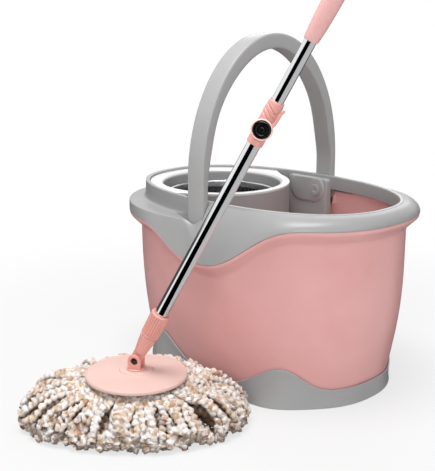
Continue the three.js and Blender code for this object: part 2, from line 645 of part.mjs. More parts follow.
// Flat strip twisted about the pole's axis, one full turn per pitch.
function twistedStrip(width, thickness, low, high) {
  const heights = [low];
  const first = (Math.floor(low / drive.facet) + 1) * drive.facet;
  for (let z = first; z < high; z += drive.facet) heights.push(z);
  heights.push(high);
  const rings = heights.map((z) => {
    const angle = (2 * Math.PI * z) / drive.pitch;
    const [ux, uy] = [Math.cos(angle), Math.sin(angle)];
    return [[1, 1], [-1, 1], [-1, -1], [1, -1]].map(([a, b]) => {
      const [p, q] = [(a * width) / 2, (b * thickness) / 2];
      return new THREE.Vector3(ux * p - uy * q, uy * p + ux * q, z);
    });
  });
  return toSolid(skinRings(rings));
}

function slotStrip(gap, low, high) {
  return twistedStrip(drive.width + 2 * gap, drive.thickness + 2 * gap, low, high);
}

function rodPlug() {
  const body = rod(lowerInner - SEAT_GAP, collarTop + SEAT_GAP, plugHigh, 28);
  return leanPole(cut(body, slotStrip(SEAT_GAP, plugLow - SEAT_GAP, plugHigh + 8)));
}

const twistedRod = () => leanPole(twistedStrip(drive.width, drive.thickness, plugLow, drive.rodEnd));

function nutStop(low) {
  const bore = Math.hypot(drive.width, drive.thickness) / 2 + RUN_GAP;
  return leanPole(turned(tubeProfile(bore, upperInner - SEAT_GAP, low, low + drive.stop), 28));
}

const nutLow = pole.upperStart + 2 + drive.stop + RUN_GAP;

function driveNut() {
  const body = rod(upperInner - RUN_GAP, nutLow, nutLow + drive.nutLength, 28);
  return leanPole(cut(body, slotStrip(drive.slotFit, nutLow - 4, nutLow + drive.nutLength + 4)));
}

function lockSleeve() {
  const seat = lowerOuter + SEAT_GAP;
  const glide = upperOuter + RUN_GAP;
  const outer = seat + pole.sleeveWall;
  const start = pole.sleeveStart;
  const step = start + 24 + SEAT_GAP;
  const shell = turned([[seat, start], [outer - 0.4, start], [outer, start + 1.5], [outer, sleeveTop - 12],
    [glide + pole.sleeveWall, sleeveTop - 1], [glide + 1, sleeveTop], [glide, sleeveTop], [glide, step],
    [seat, step], [seat, start]], 28);
  const boss = rodAcross(lock.bossRadius, -lock.bossFace, -6).translate([0, 0, discHeight]);
  const tubeRoom = [rod(seat, start - 1, step, 28), rod(glide, step - 1, sleeveTop, 28)];
  const pinHole = rodAcross(lock.pinRadius + SEAT_GAP, -lock.bossFace - 1, -6).translate([0, 0, discHeight]);
  return leanLock(cut(join(shell, cut(boss, ...tubeRoom)), pinHole));
}

function lockCap() {
  const face = -lock.bossFace - SEAT_GAP;
  const disc = rodAcross(lock.capRadius, face - lock.leverThickness - 0.6, face, 30);
  const pin = rodAcross(lock.pinRadius, face - 1, -lowerOuter - 2 * SEAT_GAP);
  return leanLock(join(disc, pin).translate([0, 0, discHeight]));
}

function lockLever() {
  const near = -lock.bossFace - RUN_GAP;
  const far = near - lock.leverThickness;
  const { eyeRadius, armReach, armLength } = lock;
  const eye = rodAcross(eyeRadius, far, near, 30);
  const hole = rodAcross(lock.capRadius + RUN_GAP, far - 1, near + 1, 30);
  const arm = [[4, 6], [eyeRadius - 1.5, 4], [eyeRadius - 0.6, 12], [armReach + 0.6, armLength - 5],
    [armReach + 2.4, armLength - 1], [armReach, armLength], [eyeRadius - 4, armLength - 6],
    [eyeRadius - 4.4, 12]];
  const strip = pulledAcross(arm, far, near);
  return leanLock(cut(join(eye, strip), hole).translate([0, 0, discHeight]));
}

function grip() {
  const bore = upperOuter + SEAT_GAP;
  const profile = [[bore, gripStart], [8.8, gripStart], [9.4, gripStart + 4], [10.8, gripStart + 22],
    [11.6, gripStart + 45], [12.2, gripStart + 120], [11.6, gripEnd - 30], [11.8, gripEnd - 6],
    [11, gripEnd], [bore, gripEnd], [bore, gripStart]];
  return leanPole(turned(profile, 28));
}

function gripCap() {
  const low = gripEnd + SEAT_GAP;
  const dome = turned([[0, low - 15], [upperInner - SEAT_GAP, low - 15], [upperInner - SEAT_GAP, low],
    [11, low], [11, low + 3], [8, low + 7], [0, low + 8]], 28);
  const loop = pulledAcross(earOutline(9, 14, 9), -3, 3).translate([0, 0, low + 18]);
  const eye = rodAcross(5, -4, 4).translate([0, 0, low + 18]);
  return leanPole(cut(join(dome, loop), eye));
}

// ---------------------------------------------------------------- materials and assembly
const finishes = {
  pink: { color: 0xdca5a2, roughness: 0.35, metalness: 0 },
  grey: { color: 0x9fa0a0, roughness: 0.45, metalness: 0 },
  pale: { color: 0xd4d3cf, roughness: 0.4, metalness: 0 },
  black: { color: 0x181b17, roughness: 0.2, metalness: 0 },
  white: { color: 0xeeece6, roughness: 0.5, metalness: 0 },
  yarn: { color: 0xe9e2d4, roughness: 0.95, metalness: 0 },
  steel: { color: 0xc4c6c8, roughness: 0.28, metalness: 1 },
  chrome: { color: 0xd9dbdd, roughness: 0.12, metalness: 1 },
};

const pieces = [
  ['bucket_shell', bucketShell, finishes.pink],
  ['base_tray', baseTray, finishes.grey],
  ['upper_frame', upperFrame, finishes.grey],
  ['spinner_housing', spinnerHousing, finishes.pale],
  ['spindle_post', spindlePost, finishes.grey],
  ['spindle_bush', spindleBush, finishes.white],
  ['basket_spindle', basketSpindle, finishes.steel],
  ['basket_cup', basketCup, finishes.steel],
  ['basket_hub', basketHub, finishes.grey],
  ['spindle_nut', spindleNut, finishes.steel],
  ['handle_bail', handleBail, finishes.grey],
  ['handle_clip_front', () => handleClip(-1), finishes.grey],
  ['handle_clip_back', () => handleClip(1), finishes.grey],
  ['mop_strands', mopStrands, finishes.yarn],
  ['refill_ring', refillRing, finishes.white],
  ['mop_plate', mopPlate, finishes.pink],
  ['hinge_foot', hingeFoot, finishes.pink],
  ['hinge_pin', hingePin, finishes.steel],
  ['pole_neck', neck, finishes.pink],
  ['ribbed_collar', ribbedCollar, finishes.pink],
  ['lower_tube', lowerTube, finishes.chrome],
  ['rod_plug', rodPlug, finishes.white],
  ['twisted_rod', twistedRod, finishes.steel],
  ['lock_sleeve', lockSleeve, finishes.pink],
  ['lock_cap', lockCap, finishes.black],
  ['lock_lever', lockLever, finishes.pink],
  ['upper_tube', upperTube, finishes.chrome],
  ['nut_stop_lower', () => nutStop(pole.upperStart + 2), finishes.white],
  ['drive_nut', driveNut, finishes.white],
  ['nut_stop_upper', () => nutStop(nutLow + drive.nutLength + RUN_GAP), finishes.white],
  ['pole_grip', grip, finishes.pink],
  ['grip_cap', gripCap, finishes.pink],
];

const group = new THREE.Group();
group.name = 'spin_mop_set';
for (const [name, build, finish] of pieces) {
  const mesh = new THREE.Mesh(toGeometry(build()), new THREE.MeshStandardMaterial(finish));
  mesh.name = name;
  group.add(mesh);
}

export default group;
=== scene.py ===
"""Spin mop set: an oval wash-and-spin bucket with a carrying handle and a perforated spin basket,
and a telescopic mop whose round head tilts on the pole.

Metres and the part's own frame: the origin is the centre of the bucket's underside, +Z is up,
+X runs towards the wash end, and the mop stands on the -Y side. Lengths written in millimetres
are multiplied by MM where a mesh is made.
"""

import math
import random

import bpy
import numpy as np
from mathutils import Matrix, Vector


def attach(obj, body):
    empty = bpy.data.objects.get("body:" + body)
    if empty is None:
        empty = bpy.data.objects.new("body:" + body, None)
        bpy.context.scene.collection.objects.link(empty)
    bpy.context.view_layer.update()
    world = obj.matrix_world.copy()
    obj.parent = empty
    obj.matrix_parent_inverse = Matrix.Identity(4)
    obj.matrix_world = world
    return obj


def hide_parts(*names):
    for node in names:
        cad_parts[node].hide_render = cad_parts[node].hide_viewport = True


MM = 0.001
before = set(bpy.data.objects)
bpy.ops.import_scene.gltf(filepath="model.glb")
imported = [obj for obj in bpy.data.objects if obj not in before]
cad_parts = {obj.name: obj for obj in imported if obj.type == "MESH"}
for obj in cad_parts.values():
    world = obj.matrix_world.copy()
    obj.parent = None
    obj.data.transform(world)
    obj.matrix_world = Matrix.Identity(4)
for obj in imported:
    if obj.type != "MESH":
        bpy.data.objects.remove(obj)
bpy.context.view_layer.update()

# ------------------------------------------------------------------ the object's sizes, in mm
SEAT_GAP = 0.3  # between pieces that seat on each other
CORE = 0.3  # radius at which a solid turned piece stops short of its axis
OVAL_SQUARENESS = 2.3
RIM_LENGTH, RIM_WIDTH, RIM_HEIGHT = 210.0, 134.0, 273.0  # an oval's length and width are its halves
FLANGE_LENGTH, FLANGE_WIDTH = 228.5, 166.0
LEDGE_HEIGHT = 247.0
APRON_X, APRON_LOW = 15.0, 193.0  # the frame's lower edge dips here, and climbs to both ends
WASH_RUN, WASH_SEAM = 162.0, 256.0
SPIN_RUN, SPIN_SEAM = 128.0, 231.0
BASE_PLATE, TUB_WALL, FLOOR_THICKNESS = 3.0, 2.8, 3.0
PIVOT_X, PIVOT_Z = -5.0, 250.0
STRAP, STRAP_THICKNESS = 30.0, 11.0
FOLD = math.radians(74.5)  # half a degree past the handle's swing
SPINNER_X, DECK_TOP = -95.5, 269.5
MOP_X, MOP_Y, HINGE_Z = 16.6, -276.0, 86.0
MOP = (MOP_X, MOP_Y)  # the mop head's upright axis
LEAN, FACING = math.radians(28.2), math.radians(28.0)


# ------------------------------------------------------------------ shader maths
def plug(slot, value):
    """Links a Value to an input socket, or writes a plain value into it."""
    if isinstance(value, Value):
        value.tree.links.new(value.socket, slot)
    else:
        slot.default_value = value


def add_node(tree, kind, settings=None, output=0, **sockets):
    """Adds a shader node: its settings, a ramp's stops among them, then the values or links of its
    sockets. A socket goes by its name, with _ for a space, or by i and its number."""
    node = tree.nodes.new("ShaderNode" + kind)
    settings = dict(settings or {})
    stops = settings.pop("stops", ())
    for key, value in settings.items():
        setattr(node, key, value)
    for _ in stops[2:]:
        node.color_ramp.elements.new(0.5)
    if stops:
        for element, (position, colour) in zip(node.color_ramp.elements, stops):
            element.position = position
            element.color = linear(colour)
    for key, value in sockets.items():
        numbered = key[0] == "i" and key[1:].isdigit()
        plug(node.inputs[int(key[1:]) if numbered else key.replace("_", " ")], value)
    return Value(tree, node.outputs[output])


class Value:
    """One output socket; arithmetic on it adds Math nodes to its tree."""

    def __init__(self, tree, socket):
        self.tree = tree
        self.socket = socket

    def _math(self, operation, first, second):
        return add_node(self.tree, "Math", {"operation": operation}, i0=first, i1=second)

    def __add__(self, other):
        return self._math("ADD", self, other)

    __radd__ = __add__

    def __sub__(self, other):
        return self._math("SUBTRACT", self, other)

    def __rsub__(self, other):
        return self._math("SUBTRACT", other, self)

    def __mul__(self, other):
        return self._math("MULTIPLY", self, other)

    __rmul__ = __mul__

    def step(self, low, high):
        """0 below low, 1 above high, smooth between."""
        return add_node(self.tree, "MapRange", {"interpolation_type": "SMOOTHSTEP"}, "Result",
                        Value=self, From_Min=low, From_Max=high)


class Shader:
    """A tree of shader nodes, and the steps that most finishes share."""

    def __init__(self, tree):
        self.tree = tree

    def node(self, kind, settings=None, output=0, **sockets):
        return add_node(self.tree, kind, settings, output, **sockets)

    def place(self):
        return self.node("TexCoord", output="Object")

    def vector_math(self, operation, first, second=(0.0, 0.0, 0.0), output=0):
        return self.node("VectorMath", {"operation": operation}, output, i0=first, i1=second)

    def noise(self, scale, detail=2.0, roughness=0.5, vector=None):
        return self.node("TexNoise", Vector=vector or self.place(), Scale=scale, Detail=detail,
                         Roughness=roughness)

    def stretched(self, x, y, z):
        return self.node("Mapping", Vector=self.place(), Scale=(x, y, z))

    def mix(self, share, first, second):
        """A colour between two, each a colour or a Value that carries one."""
        tint = lambda c: c if isinstance(c, Value) else linear(c)
        return self.node("Mix", {"data_type": "RGBA"}, 2, i0=share, i6=tint(first), i7=tint(second))

    def ramp(self, share, stops):
        return self.node("ValToRGB", {"stops": stops}, i0=share)


class Finish(Shader):
    """A procedural material on one Principled BSDF."""

    def __init__(self, name, colour, roughness, **sockets):
        self.material = bpy.data.materials.new(name)
        self.material.use_nodes = True
        super().__init__(self.material.node_tree)
        self.bsdf = self.tree.nodes["Principled BSDF"]
        self.set("Base Color", linear(colour))
        self.set("Roughness", roughness)
        for socket, value in sockets.items():
            self.set(socket.replace("_", " "), value)

    def set(self, socket, value):
        plug(self.bsdf.inputs[socket], value)

    def plain(self):
        return Value(self.tree, self.bsdf.outputs[0])

    def bump(self, height, distance, strength):
        self.set("Normal", self.node("Bump", Strength=strength, Distance=distance, Height=height))


def linear(colour):
    """A linear RGBA colour from 0-255 display values."""
    def one(value):
        value /= 255.0
        return value / 12.92 if value <= 0.04045 else ((value + 0.055) / 1.055) ** 2.4
    return tuple(one(value) for value in colour) + (1.0,)


# ------------------------------------------------------------------ finishes
FLAT = (1.0, 1.0, 0.0)  # keeps the horizontal part of a vector
COAT_ROUGHNESS = 0.12
PEEL_SCALE, PEEL_HEIGHT, PEEL_STRENGTH = 900.0, 0.00006, 0.35  # the orange-peel skin of moulded plastic


def moulded_plastic(name, colour, darker, roughness, peel_height=PEEL_HEIGHT, coat=0.0, inner=None,
                    **sockets):
    """Moulded plastic: a faint cloudiness in colour and gloss, and a fine orange-peel skin.
    A hollow piece may have another colour painted where it faces its own middle: painted light for an inside
    that lies in shade."""
    finish = Finish(name, colour, roughness, **sockets)
    cloud = finish.noise(9.0, 3.0, 0.55)
    tone = finish.mix(cloud.step(0.35, 0.75), colour, darker)
    # painted light: faces turned towards the piece's middle take the inner colour, standing in for light that
    # the shaded inside lacks
    if inner:
        outward = finish.vector_math("MULTIPLY", finish.place(), FLAT)
        normal = finish.node("NewGeometry", output="Normal")
        facing = finish.vector_math("DOT_PRODUCT", outward, normal, "Value")
        tone = finish.mix(facing.step(-0.03, 0.0), inner, tone)
    finish.set("Base Color", tone)
    finish.set("Roughness", finish.noise(60.0, 3.0) * 0.10 + (roughness - 0.05))
    peel = finish.noise(PEEL_SCALE, 2.0, 0.6) + finish.noise(160.0, 1.0) * 0.6
    finish.bump(peel, peel_height, PEEL_STRENGTH)
    if coat:
        finish.set("Coat Weight", coat)
        finish.set("Coat Roughness", COAT_ROUGHNESS)
    return finish.material


def spinner_plastic_painted_lit_deck():
    """The spinner's housing: a grey body, with its deck painted lighter as painted light falling from above.
    """
    finish = Finish("spinner_plastic_painted_lit_deck", (196, 196, 195), 0.4, Coat_Weight=0.1, Coat_Roughness=COAT_ROUGHNESS)
    # painted light: above this height the deck takes a lighter grey, standing in for the light on its top
    height = finish.node("SeparateXYZ", output="Z", Vector=finish.place())
    painted_deck_light = height.step((DECK_TOP - 4.0) * MM, (DECK_TOP - 2.0) * MM)
    finish.set("Base Color", finish.mix(painted_deck_light, (150, 150, 150), (205, 205, 204)))
    finish.bump(finish.noise(PEEL_SCALE, 2.0, 0.6), PEEL_HEIGHT, PEEL_STRENGTH)
    return finish.material


def polished_tube():
    """Chrome-plated steel tube with very fine lengthwise draw marks."""
    finish = Finish("polished_tube", (232, 233, 235), 0.07, Metallic=1.0)
    marks = finish.noise(1.0, 2.0, 0.5, finish.stretched(700.0, 700.0, 3.0))
    finish.set("Roughness", marks * 0.03 + 0.03)
    finish.bump(marks, 0.00001, 0.15)
    return finish.material


def brushed_steel(name, colour):
    """Steel brushed round its turned pieces, so the lines lie level."""
    finish = Finish(name, colour, 0.26, Metallic=1.0)
    lines = finish.noise(1.0, 3.0, 0.6, finish.stretched(60.0, 60.0, 1400.0))
    finish.set("Roughness", lines * 0.16 + 0.2)
    finish.bump(lines, 0.00003, 0.3)
    return finish.material


def chenille_yarn():
    """Twisted microfibre yarn: tufts of white, cream, beige and tan, with painted shade in brown deep in the
    pile and on the strands' under sides.
    """
    finish = Finish("chenille_yarn", (206, 194, 182), 0.95, Sheen_Weight=0.1)
    tufts = finish.node("TexVoronoi", output="Color", Vector=finish.place(), Scale=150.0, Randomness=1.0)
    pick = finish.node("SeparateColor", output=0, Color=tufts)
    yarn = finish.ramp(pick, [
        (0.0, (240, 237, 236)), (0.3, (228, 221, 217)), (0.46, (216, 198, 184)), (0.6, (236, 229, 223)),
        (0.74, (204, 174, 146)), (0.84, (230, 212, 188)), (0.93, (184, 146, 116)), (1.0, (222, 202, 198)),
    ])
    # painted shade: the depth attribute mixes the yarn towards brown where the pile is deep and where a
    # strand faces down
    depth = finish.node("Attribute", {"attribute_name": "depth"}, output="Fac")
    finish.set("Base Color", finish.mix(depth, yarn, (104, 76, 54)))
    fibre = finish.noise(1500.0, 3.0, 0.7) + finish.noise(420.0, 2.0) * 0.8
    finish.bump(fibre, 0.0009, 0.8)
    return finish.material


# the tub's inside is painted lighter than its outside: painted light where the frame's lip shades the inner
# wall
pink_plastic = moulded_plastic("pink_plastic", (224, 169, 167), (218, 160, 157), 0.36, coat=0.15,
                               inner=(250, 206, 203))
mop_pink = moulded_plastic("mop_pink", (222, 160, 150), (215, 150, 140), 0.34, coat=0.2)
plate_pink = moulded_plastic("plate_pink", (214, 184, 176), (209, 177, 169), 0.5, Specular_IOR_Level=0.2)
grip_pink = moulded_plastic("grip_pink", (226, 174, 170), (221, 167, 163), 0.40, coat=0.1)
# painted highlight: the lock's ring is a paler, glossier pink that stands in for the highlight on its rounded
# edge
ring_pink_painted_highlight = moulded_plastic("ring_pink_painted_highlight", (246, 208, 198), (242, 200, 190), 0.22, coat=0.6)
grey_plastic = moulded_plastic("grey_plastic", (163, 163, 163), (158, 158, 158), 0.42, coat=0.1)
frame_grey = moulded_plastic("frame_grey", (150, 150, 150), (146, 146, 146), 0.42, coat=0.1)
white_plastic = moulded_plastic("white_plastic", (232, 230, 226), (226, 224, 219), 0.45)
black_gloss = moulded_plastic("black_gloss", (12, 13, 12), (17, 18, 17), 0.16, 0.00002, 0.2)
spinner_finish = spinner_plastic_painted_lit_deck()
polished_tube_finish = polished_tube()
brushed_steel_finish = brushed_steel("brushed_steel", (214, 215, 217))
# painted shade: the basket's steel is made dark so that its inside reads as shaded
basket_steel_painted_shade_finish = brushed_steel("basket_steel_painted_shade", (98, 99, 101))
# painted shade: the pin is a dark brownish steel so that it reads as the shadow in the eye's hole
pin_painted_shade_finish = brushed_steel("pin_steel_painted_shade", (84, 72, 68))
yarn_finish = chenille_yarn()


# ------------------------------------------------------------------ mesh helpers
def full_turn(steps):
    """Even angles round a full circle."""
    return np.linspace(0, 2 * math.pi, steps, endpoint=False)


def level_row(turn, reach, height, centre=(0.0, 0.0)):
    """A row of points round an upright axis. The reach may differ from turn to turn."""
    return np.stack([centre[0] + reach * np.cos(turn), centre[1] + reach * np.sin(turn),
                     np.full(len(turn), height)], axis=1)


def upright_row(turn, reach, y, centre=(0.0, 0.0)):
    """A row of points round an axis along Y, whose centre is given in X and Z."""
    return np.stack([centre[0] + reach * np.cos(turn), np.full(len(turn), y),
                     centre[1] + reach * np.sin(turn)], axis=1)


def moved(loops, place):
    """Rows of points carried to their place by a function of points, if there is one."""
    return loops if place is None else place(loops.reshape(-1, 3)).reshape(loops.shape)


def piece(name, points, faces, body, finish, replaces=(), slot=None, sharp=40.0):
    """A smooth-shaded mesh object from points in mm, riding on a body."""
    mesh = bpy.data.meshes.new(name)
    mesh.from_pydata((np.asarray(points) * MM).tolist(), [], faces)
    mesh.update()
    mesh.materials.append(finish)
    thing = bpy.data.objects.new(name, mesh)
    bpy.context.scene.collection.objects.link(thing)
    mesh.polygons.foreach_set("use_smooth", [True] * len(mesh.polygons))
    mesh.set_sharp_from_angle(angle=math.radians(sharp))
    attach(thing, body)
    if replaces:
        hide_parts(*replaces)
    return thing


def grid_faces(rows, columns, row_loop=False, start=0):
    """Faces between rows of points, each row closed on itself."""
    faces = []
    for r in range(rows if row_loop else rows - 1):
        for c in range(columns):
            a = start + r * columns + c
            b = start + r * columns + (c + 1) % columns
            below = start + ((r + 1) % rows) * columns
            faces.append((a, b, below + (c + 1) % columns, below + c))
    return faces


def rounded(polygon, radii, steps=4):
    """Rounds the corners of polygons held as an array [..., corners, 2], closed end to end.
    A radius is the cut-back along each side; it is held to under half of that side."""
    polygon = np.asarray(polygon, float)
    before = np.roll(polygon, 1, axis=-2)
    after = np.roll(polygon, -1, axis=-2)
    radii = np.asarray(radii, float)
    out = []
    for k in range(polygon.shape[-2]):
        p, a, b = polygon[..., k, :], before[..., k, :], after[..., k, :]
        to_a, to_b = a - p, b - p
        length_a = np.linalg.norm(to_a, axis=-1, keepdims=True)
        length_b = np.linalg.norm(to_b, axis=-1, keepdims=True)
        back_a = np.minimum(radii[k], 0.49 * length_a) / np.maximum(length_a, 1e-6)
        back_b = np.minimum(radii[k], 0.49 * length_b) / np.maximum(length_b, 1e-6)
        start, end = p + to_a * back_a, p + to_b * back_b
        if radii[k] == 0:
            out.append(p)
            continue
        for i in range(steps + 1):
            t = i / steps
            out.append((1 - t) ** 2 * start + 2 * t * (1 - t) * p + t * t * end)
    return np.stack(out, axis=-2)


def smoother(value):
    """0 below 0, 1 above 1, with soft ends between."""
    t = np.clip(value, 0.0, 1.0)
    return t * t * t * (t * (6 * t - 15) + 10)


def ring_wall(name, loops, body, finish, ends="loop", **more):
    """A piece from points [rows, turns, 3]: rows run along the section and turns go round.
    The section closes on itself, or its two ends are closed with a fan."""
    loops = np.asarray(loops)
    rows, turns = loops.shape[:2]
    points = loops.reshape(-1, 3)
    faces = grid_faces(rows, turns, row_loop=ends == "loop")
    if ends == "fan":
        points = np.concatenate([points, loops[:1].mean(axis=1), loops[-1:].mean(axis=1)])
        low, high = len(points) - 2, len(points) - 1
        last = (rows - 1) * turns
        faces += [(low, (c + 1) % turns, c) for c in range(turns)]
        faces += [(high, last + c, last + (c + 1) % turns) for c in range(turns)]
    return piece(name, points, faces, body, finish, **more)


def turned_piece(name, outline, radii, body, finish, centre=(0.0, 0.0), steps=96, place=None, **more):
    """A piece turned about an upright axis, from a closed outline of (radius, height) whose
    corners are rounded. An outline that reaches the middle stops at CORE."""
    profile = rounded(np.array([outline], float), radii)[0]
    loops = np.stack([level_row(full_turn(steps), radius, height, centre) for radius, height in profile])
    return ring_wall(name, moved(loops, place), body, finish, **more)


def across_piece(name, profile, centre, body, finish, steps=72, place=None, **more):
    """A piece turned about a line along Y, from (radius, y) pairs that close on themselves."""
    loops = np.stack([upright_row(full_turn(steps), radius, y, centre) for radius, y in profile])
    return ring_wall(name, moved(loops, place), body, finish, **more)


def on_pole(points):
    """From upright pole coordinates, measured from the hinge, to their leaning place."""
    turn = Matrix.Rotation(FACING, 3, "Z") @ Matrix.Rotation(LEAN, 3, "Y")
    return np.asarray(points) @ np.array(turn).T + np.array([MOP_X, MOP_Y, HINGE_Z])


# ------------------------------------------------------------------ the bucket's oval
def oval(turn, half_length, half_width):
    """Points of the bucket's squarish oval; its halves may differ from turn to turn."""
    power = 2.0 / OVAL_SQUARENESS
    bend = lambda value: np.sign(value) * np.abs(value) ** power
    return np.stack([half_length * bend(np.cos(turn)), half_width * bend(np.sin(turn))], axis=-1)


def even_turns(count, half_length=RIM_LENGTH, half_width=RIM_WIDTH):
    """Turns that step evenly along the oval's outline."""
    fine = np.linspace(0, 2 * math.pi, 20000)
    points = oval(fine, half_length, half_width)
    run = np.concatenate([[0], np.cumsum(np.linalg.norm(np.diff(points, axis=0), axis=1))])
    return np.interp(np.linspace(0, run[-1], count, endpoint=False), run, fine)


def seam_height(x):
    """Height of the seam between the frame and the tub: it dips under the handle."""
    is_wash = x > APRON_X
    side = smoother(np.abs(x - APRON_X) / np.where(is_wash, WASH_RUN, SPIN_RUN))
    return APRON_LOW + (np.where(is_wash, WASH_SEAM, SPIN_SEAM) - APRON_LOW) * side


RIM_SOFT = 1.5  # how far below the rim's top its outer face starts


def frame_profile(turn):
    """The frame's outer skin at each turn: [turns, 9, (outward from the rim, height)]."""
    rim, flange = oval(turn, RIM_LENGTH, RIM_WIDTH), oval(turn, FLANGE_LENGTH, FLANGE_WIDTH)
    reach = np.linalg.norm(flange - rim, axis=1)
    seam = seam_height(flange[:, 0])
    top, ledge = RIM_HEIGHT - RIM_SOFT, LEDGE_HEIGHT
    one = np.ones_like(reach)
    # on the spin side the skin drops from the rim to a ledge, whose edge comes in to the handle's leg
    edge = reach - 15.0 * np.clip((rim[:, 0] + 150.0) / 135.0, 0.0, 1.0) ** 1.6
    stepped = [(0 * one, top * one), (0.3 * one, (top - 9) * one), (0.7 * one, (ledge + 7) * one),
               (1.6 * one, (ledge + 1.6) * one), (4.5 * one, (ledge + 0.2) * one),
               (edge * 0.62 + 1.6, (ledge - 0.3) * one), (edge - 1.2, (ledge - 0.8) * one),
               (edge, (ledge - 2.6) * one), (reach, seam)]
    # on the wash side it slopes, and grows rounder towards the end
    blend = smoother((rim[:, 0] + 30.0) / 46.0)
    shoulder = 0.5 + 0.35 * smoother((rim[:, 0] - 60.0) / 110.0)
    flat = 9.0 * (shoulder - 0.5)
    rows = []
    for row, (outward, height) in enumerate(stepped):
        t = row / (len(stepped) - 1)
        arc = t * math.pi / 2
        slope_out = flat + (reach - flat) * ((1 - shoulder) * t + shoulder * math.sin(arc))
        slope_height = top - (top - seam) * ((1.1 - shoulder) * t + (shoulder - 0.1) * (1 - math.cos(arc)))
        rows.append(np.stack([outward + (slope_out - outward) * blend,
                              height + (slope_height - height) * blend], axis=1))
    return np.stack(rows, axis=1)


def rim_and_outward(turn):
    """The rim's outline, and the level way from it out to the flange."""
    rim, flange = oval(turn, RIM_LENGTH, RIM_WIDTH), oval(turn, FLANGE_LENGTH, FLANGE_WIDTH)
    return rim, (flange - rim) / np.linalg.norm(flange - rim, axis=1, keepdims=True)


def inset_profile(profile, distance):
    """The same profiles moved inwards along their own normals."""
    before = np.concatenate([profile[:, :1], profile[:, :-1]], axis=1)
    after = np.concatenate([profile[:, 1:], profile[:, -1:]], axis=1)
    along = after - before
    along /= np.linalg.norm(along, axis=2, keepdims=True)
    return profile + distance * np.stack([along[..., 1], -along[..., 0]], axis=-1)


def place_profile(turn, profile):
    """[turns, points, 2] of (outward, height) to [points, turns, 3] in space."""
    rim, out = rim_and_outward(turn)
    flat = rim[:, None, :] + out[:, None, :] * profile[..., :1]
    return np.concatenate([flat, profile[..., 1:]], axis=2).transpose(1, 0, 2)


# ------------------------------------------------------------------ tub and base
# height, half length and half width of the tub's wall
WALL_STATIONS = np.array([[3, 189, 131], [30, 194, 135], [45, 196.5, 137.5], [70, 201.6, 140],
                          [110, 208, 143], [150, 210.5, 146], [190, 211, 148], [233, 211.4, 148.6]])
LENGTH_CURVE = np.polyfit(WALL_STATIONS[:, 0], WALL_STATIONS[:, 1], 4)
WIDTH_CURVE = np.polyfit(WALL_STATIONS[:, 0], WALL_STATIONS[:, 2], 4)
WALL_LOW, WALL_HIGH = 3.0, 215.0  # past these heights the wall's outline stays the same
SHOULDER_DROP = 21.0
SLOT_LOW = 226.0  # the lowest point under a handle leg's slot, where the tub's edge stops


def wall_row(turn, height, more_length, more_width, rise=0.0):
    """A row along the tub's wall, at a height of its own for every turn, widened by so much."""
    at = np.clip(height, WALL_LOW, WALL_HIGH)
    flat = oval(turn, np.polyval(LENGTH_CURVE, at) + more_length, np.polyval(WIDTH_CURVE, at) + more_width)
    return np.concatenate([flat, (height + rise)[:, None]], axis=1)


def tub():
    """The tub: its wall up to a crease, a shoulder, and an edge hidden under the frame's skin."""
    turn = even_turns(288)
    seam = seam_height(oval(turn, FLANGE_LENGTH, FLANGE_WIDTH)[:, 0])
    crease = seam - SHOULDER_DROP
    profile = frame_profile(turn)

    def side(inset, foot):
        rows = []
        for share in np.linspace(0, 1, 15):
            rows.append(wall_row(turn, foot + (crease - 5 - foot) * share, -inset, -inset))
        for outward, rise in ((1.4, 0.0), (4.2, 3.4)):
            rows.append(wall_row(turn, crease, outward - inset, outward - inset, rise))
        skin = inset_profile(profile, inset + 0.6)
        hidden = inset_profile(profile, inset + 3.6)
        edge_out, edge_height = skin[:, -1, 0], skin[:, -1, 1]
        tail = [np.stack([edge_out, edge_height - 5], axis=1),
                np.stack([edge_out, edge_height - 0.4], axis=1),
                np.stack([hidden[:, -1, 0], edge_height - 0.4], axis=1)]
        tail += [hidden[:, row] for row in range(7, 2, -1)]
        placed = place_profile(turn, np.stack(tail, axis=1))
        # under the handle legs the wall's top edge stays below their slots
        x, z = placed[..., 0], placed[..., 2]
        near = smoother((x + 63.0) / 3.0) * smoother((11.5 - x) / 2.5)
        placed[..., 2] = z - near * np.maximum(z - SLOT_LOW, 0.0)
        return rows + list(placed)

    underside = np.full(len(turn), BASE_PLATE + SEAT_GAP)
    outer, inner = side(0.0, underside), side(TUB_WALL, underside + FLOOR_THICKNESS)
    loop = np.stack(outer + inner[::-1], axis=1)
    radii = [5.0] + [0.0] * 14 + [2.5, 1.6, 3.0, 1.2, 1.2] + [0.0] * 5
    radii = radii + radii[::-1]
    # a row further in on each floor lets the corners there be rounded too
    shrink = np.array([0.96, 0.96, 1.0])
    loop = np.concatenate([loop[:, :1] * shrink, loop, loop[:, -1:] * shrink], axis=1)
    columns = rounded(loop, [0.0] + radii + [0.0], 5)
    return ring_wall("tub", columns.transpose(1, 0, 2), "bucket", pink_plastic, ends="fan",
                     replaces=["bucket_shell"], slot="pink_plastic", sharp=32)


# the base's wall hugs the tub's foot; its crest rises in lobes, given as (turn in degrees, rise)
BASE_LENGTH, BASE_WIDTH, BASE_WAIST, BASE_WALL, BASE_GAP = 196.0, 150.0, 138.0, 2.6, 0.5
LOBES, LOBE_SPREAD, LOBE_SWELL = ((54.0, 36.0), (114.0, 45.0)), 16.0, 14.0
SIDE_RISE, END_RISE = 17.0, 27.0
INNER_RIM = 12.0  # how far the plate's top is a ring of mesh before it closes as a fan


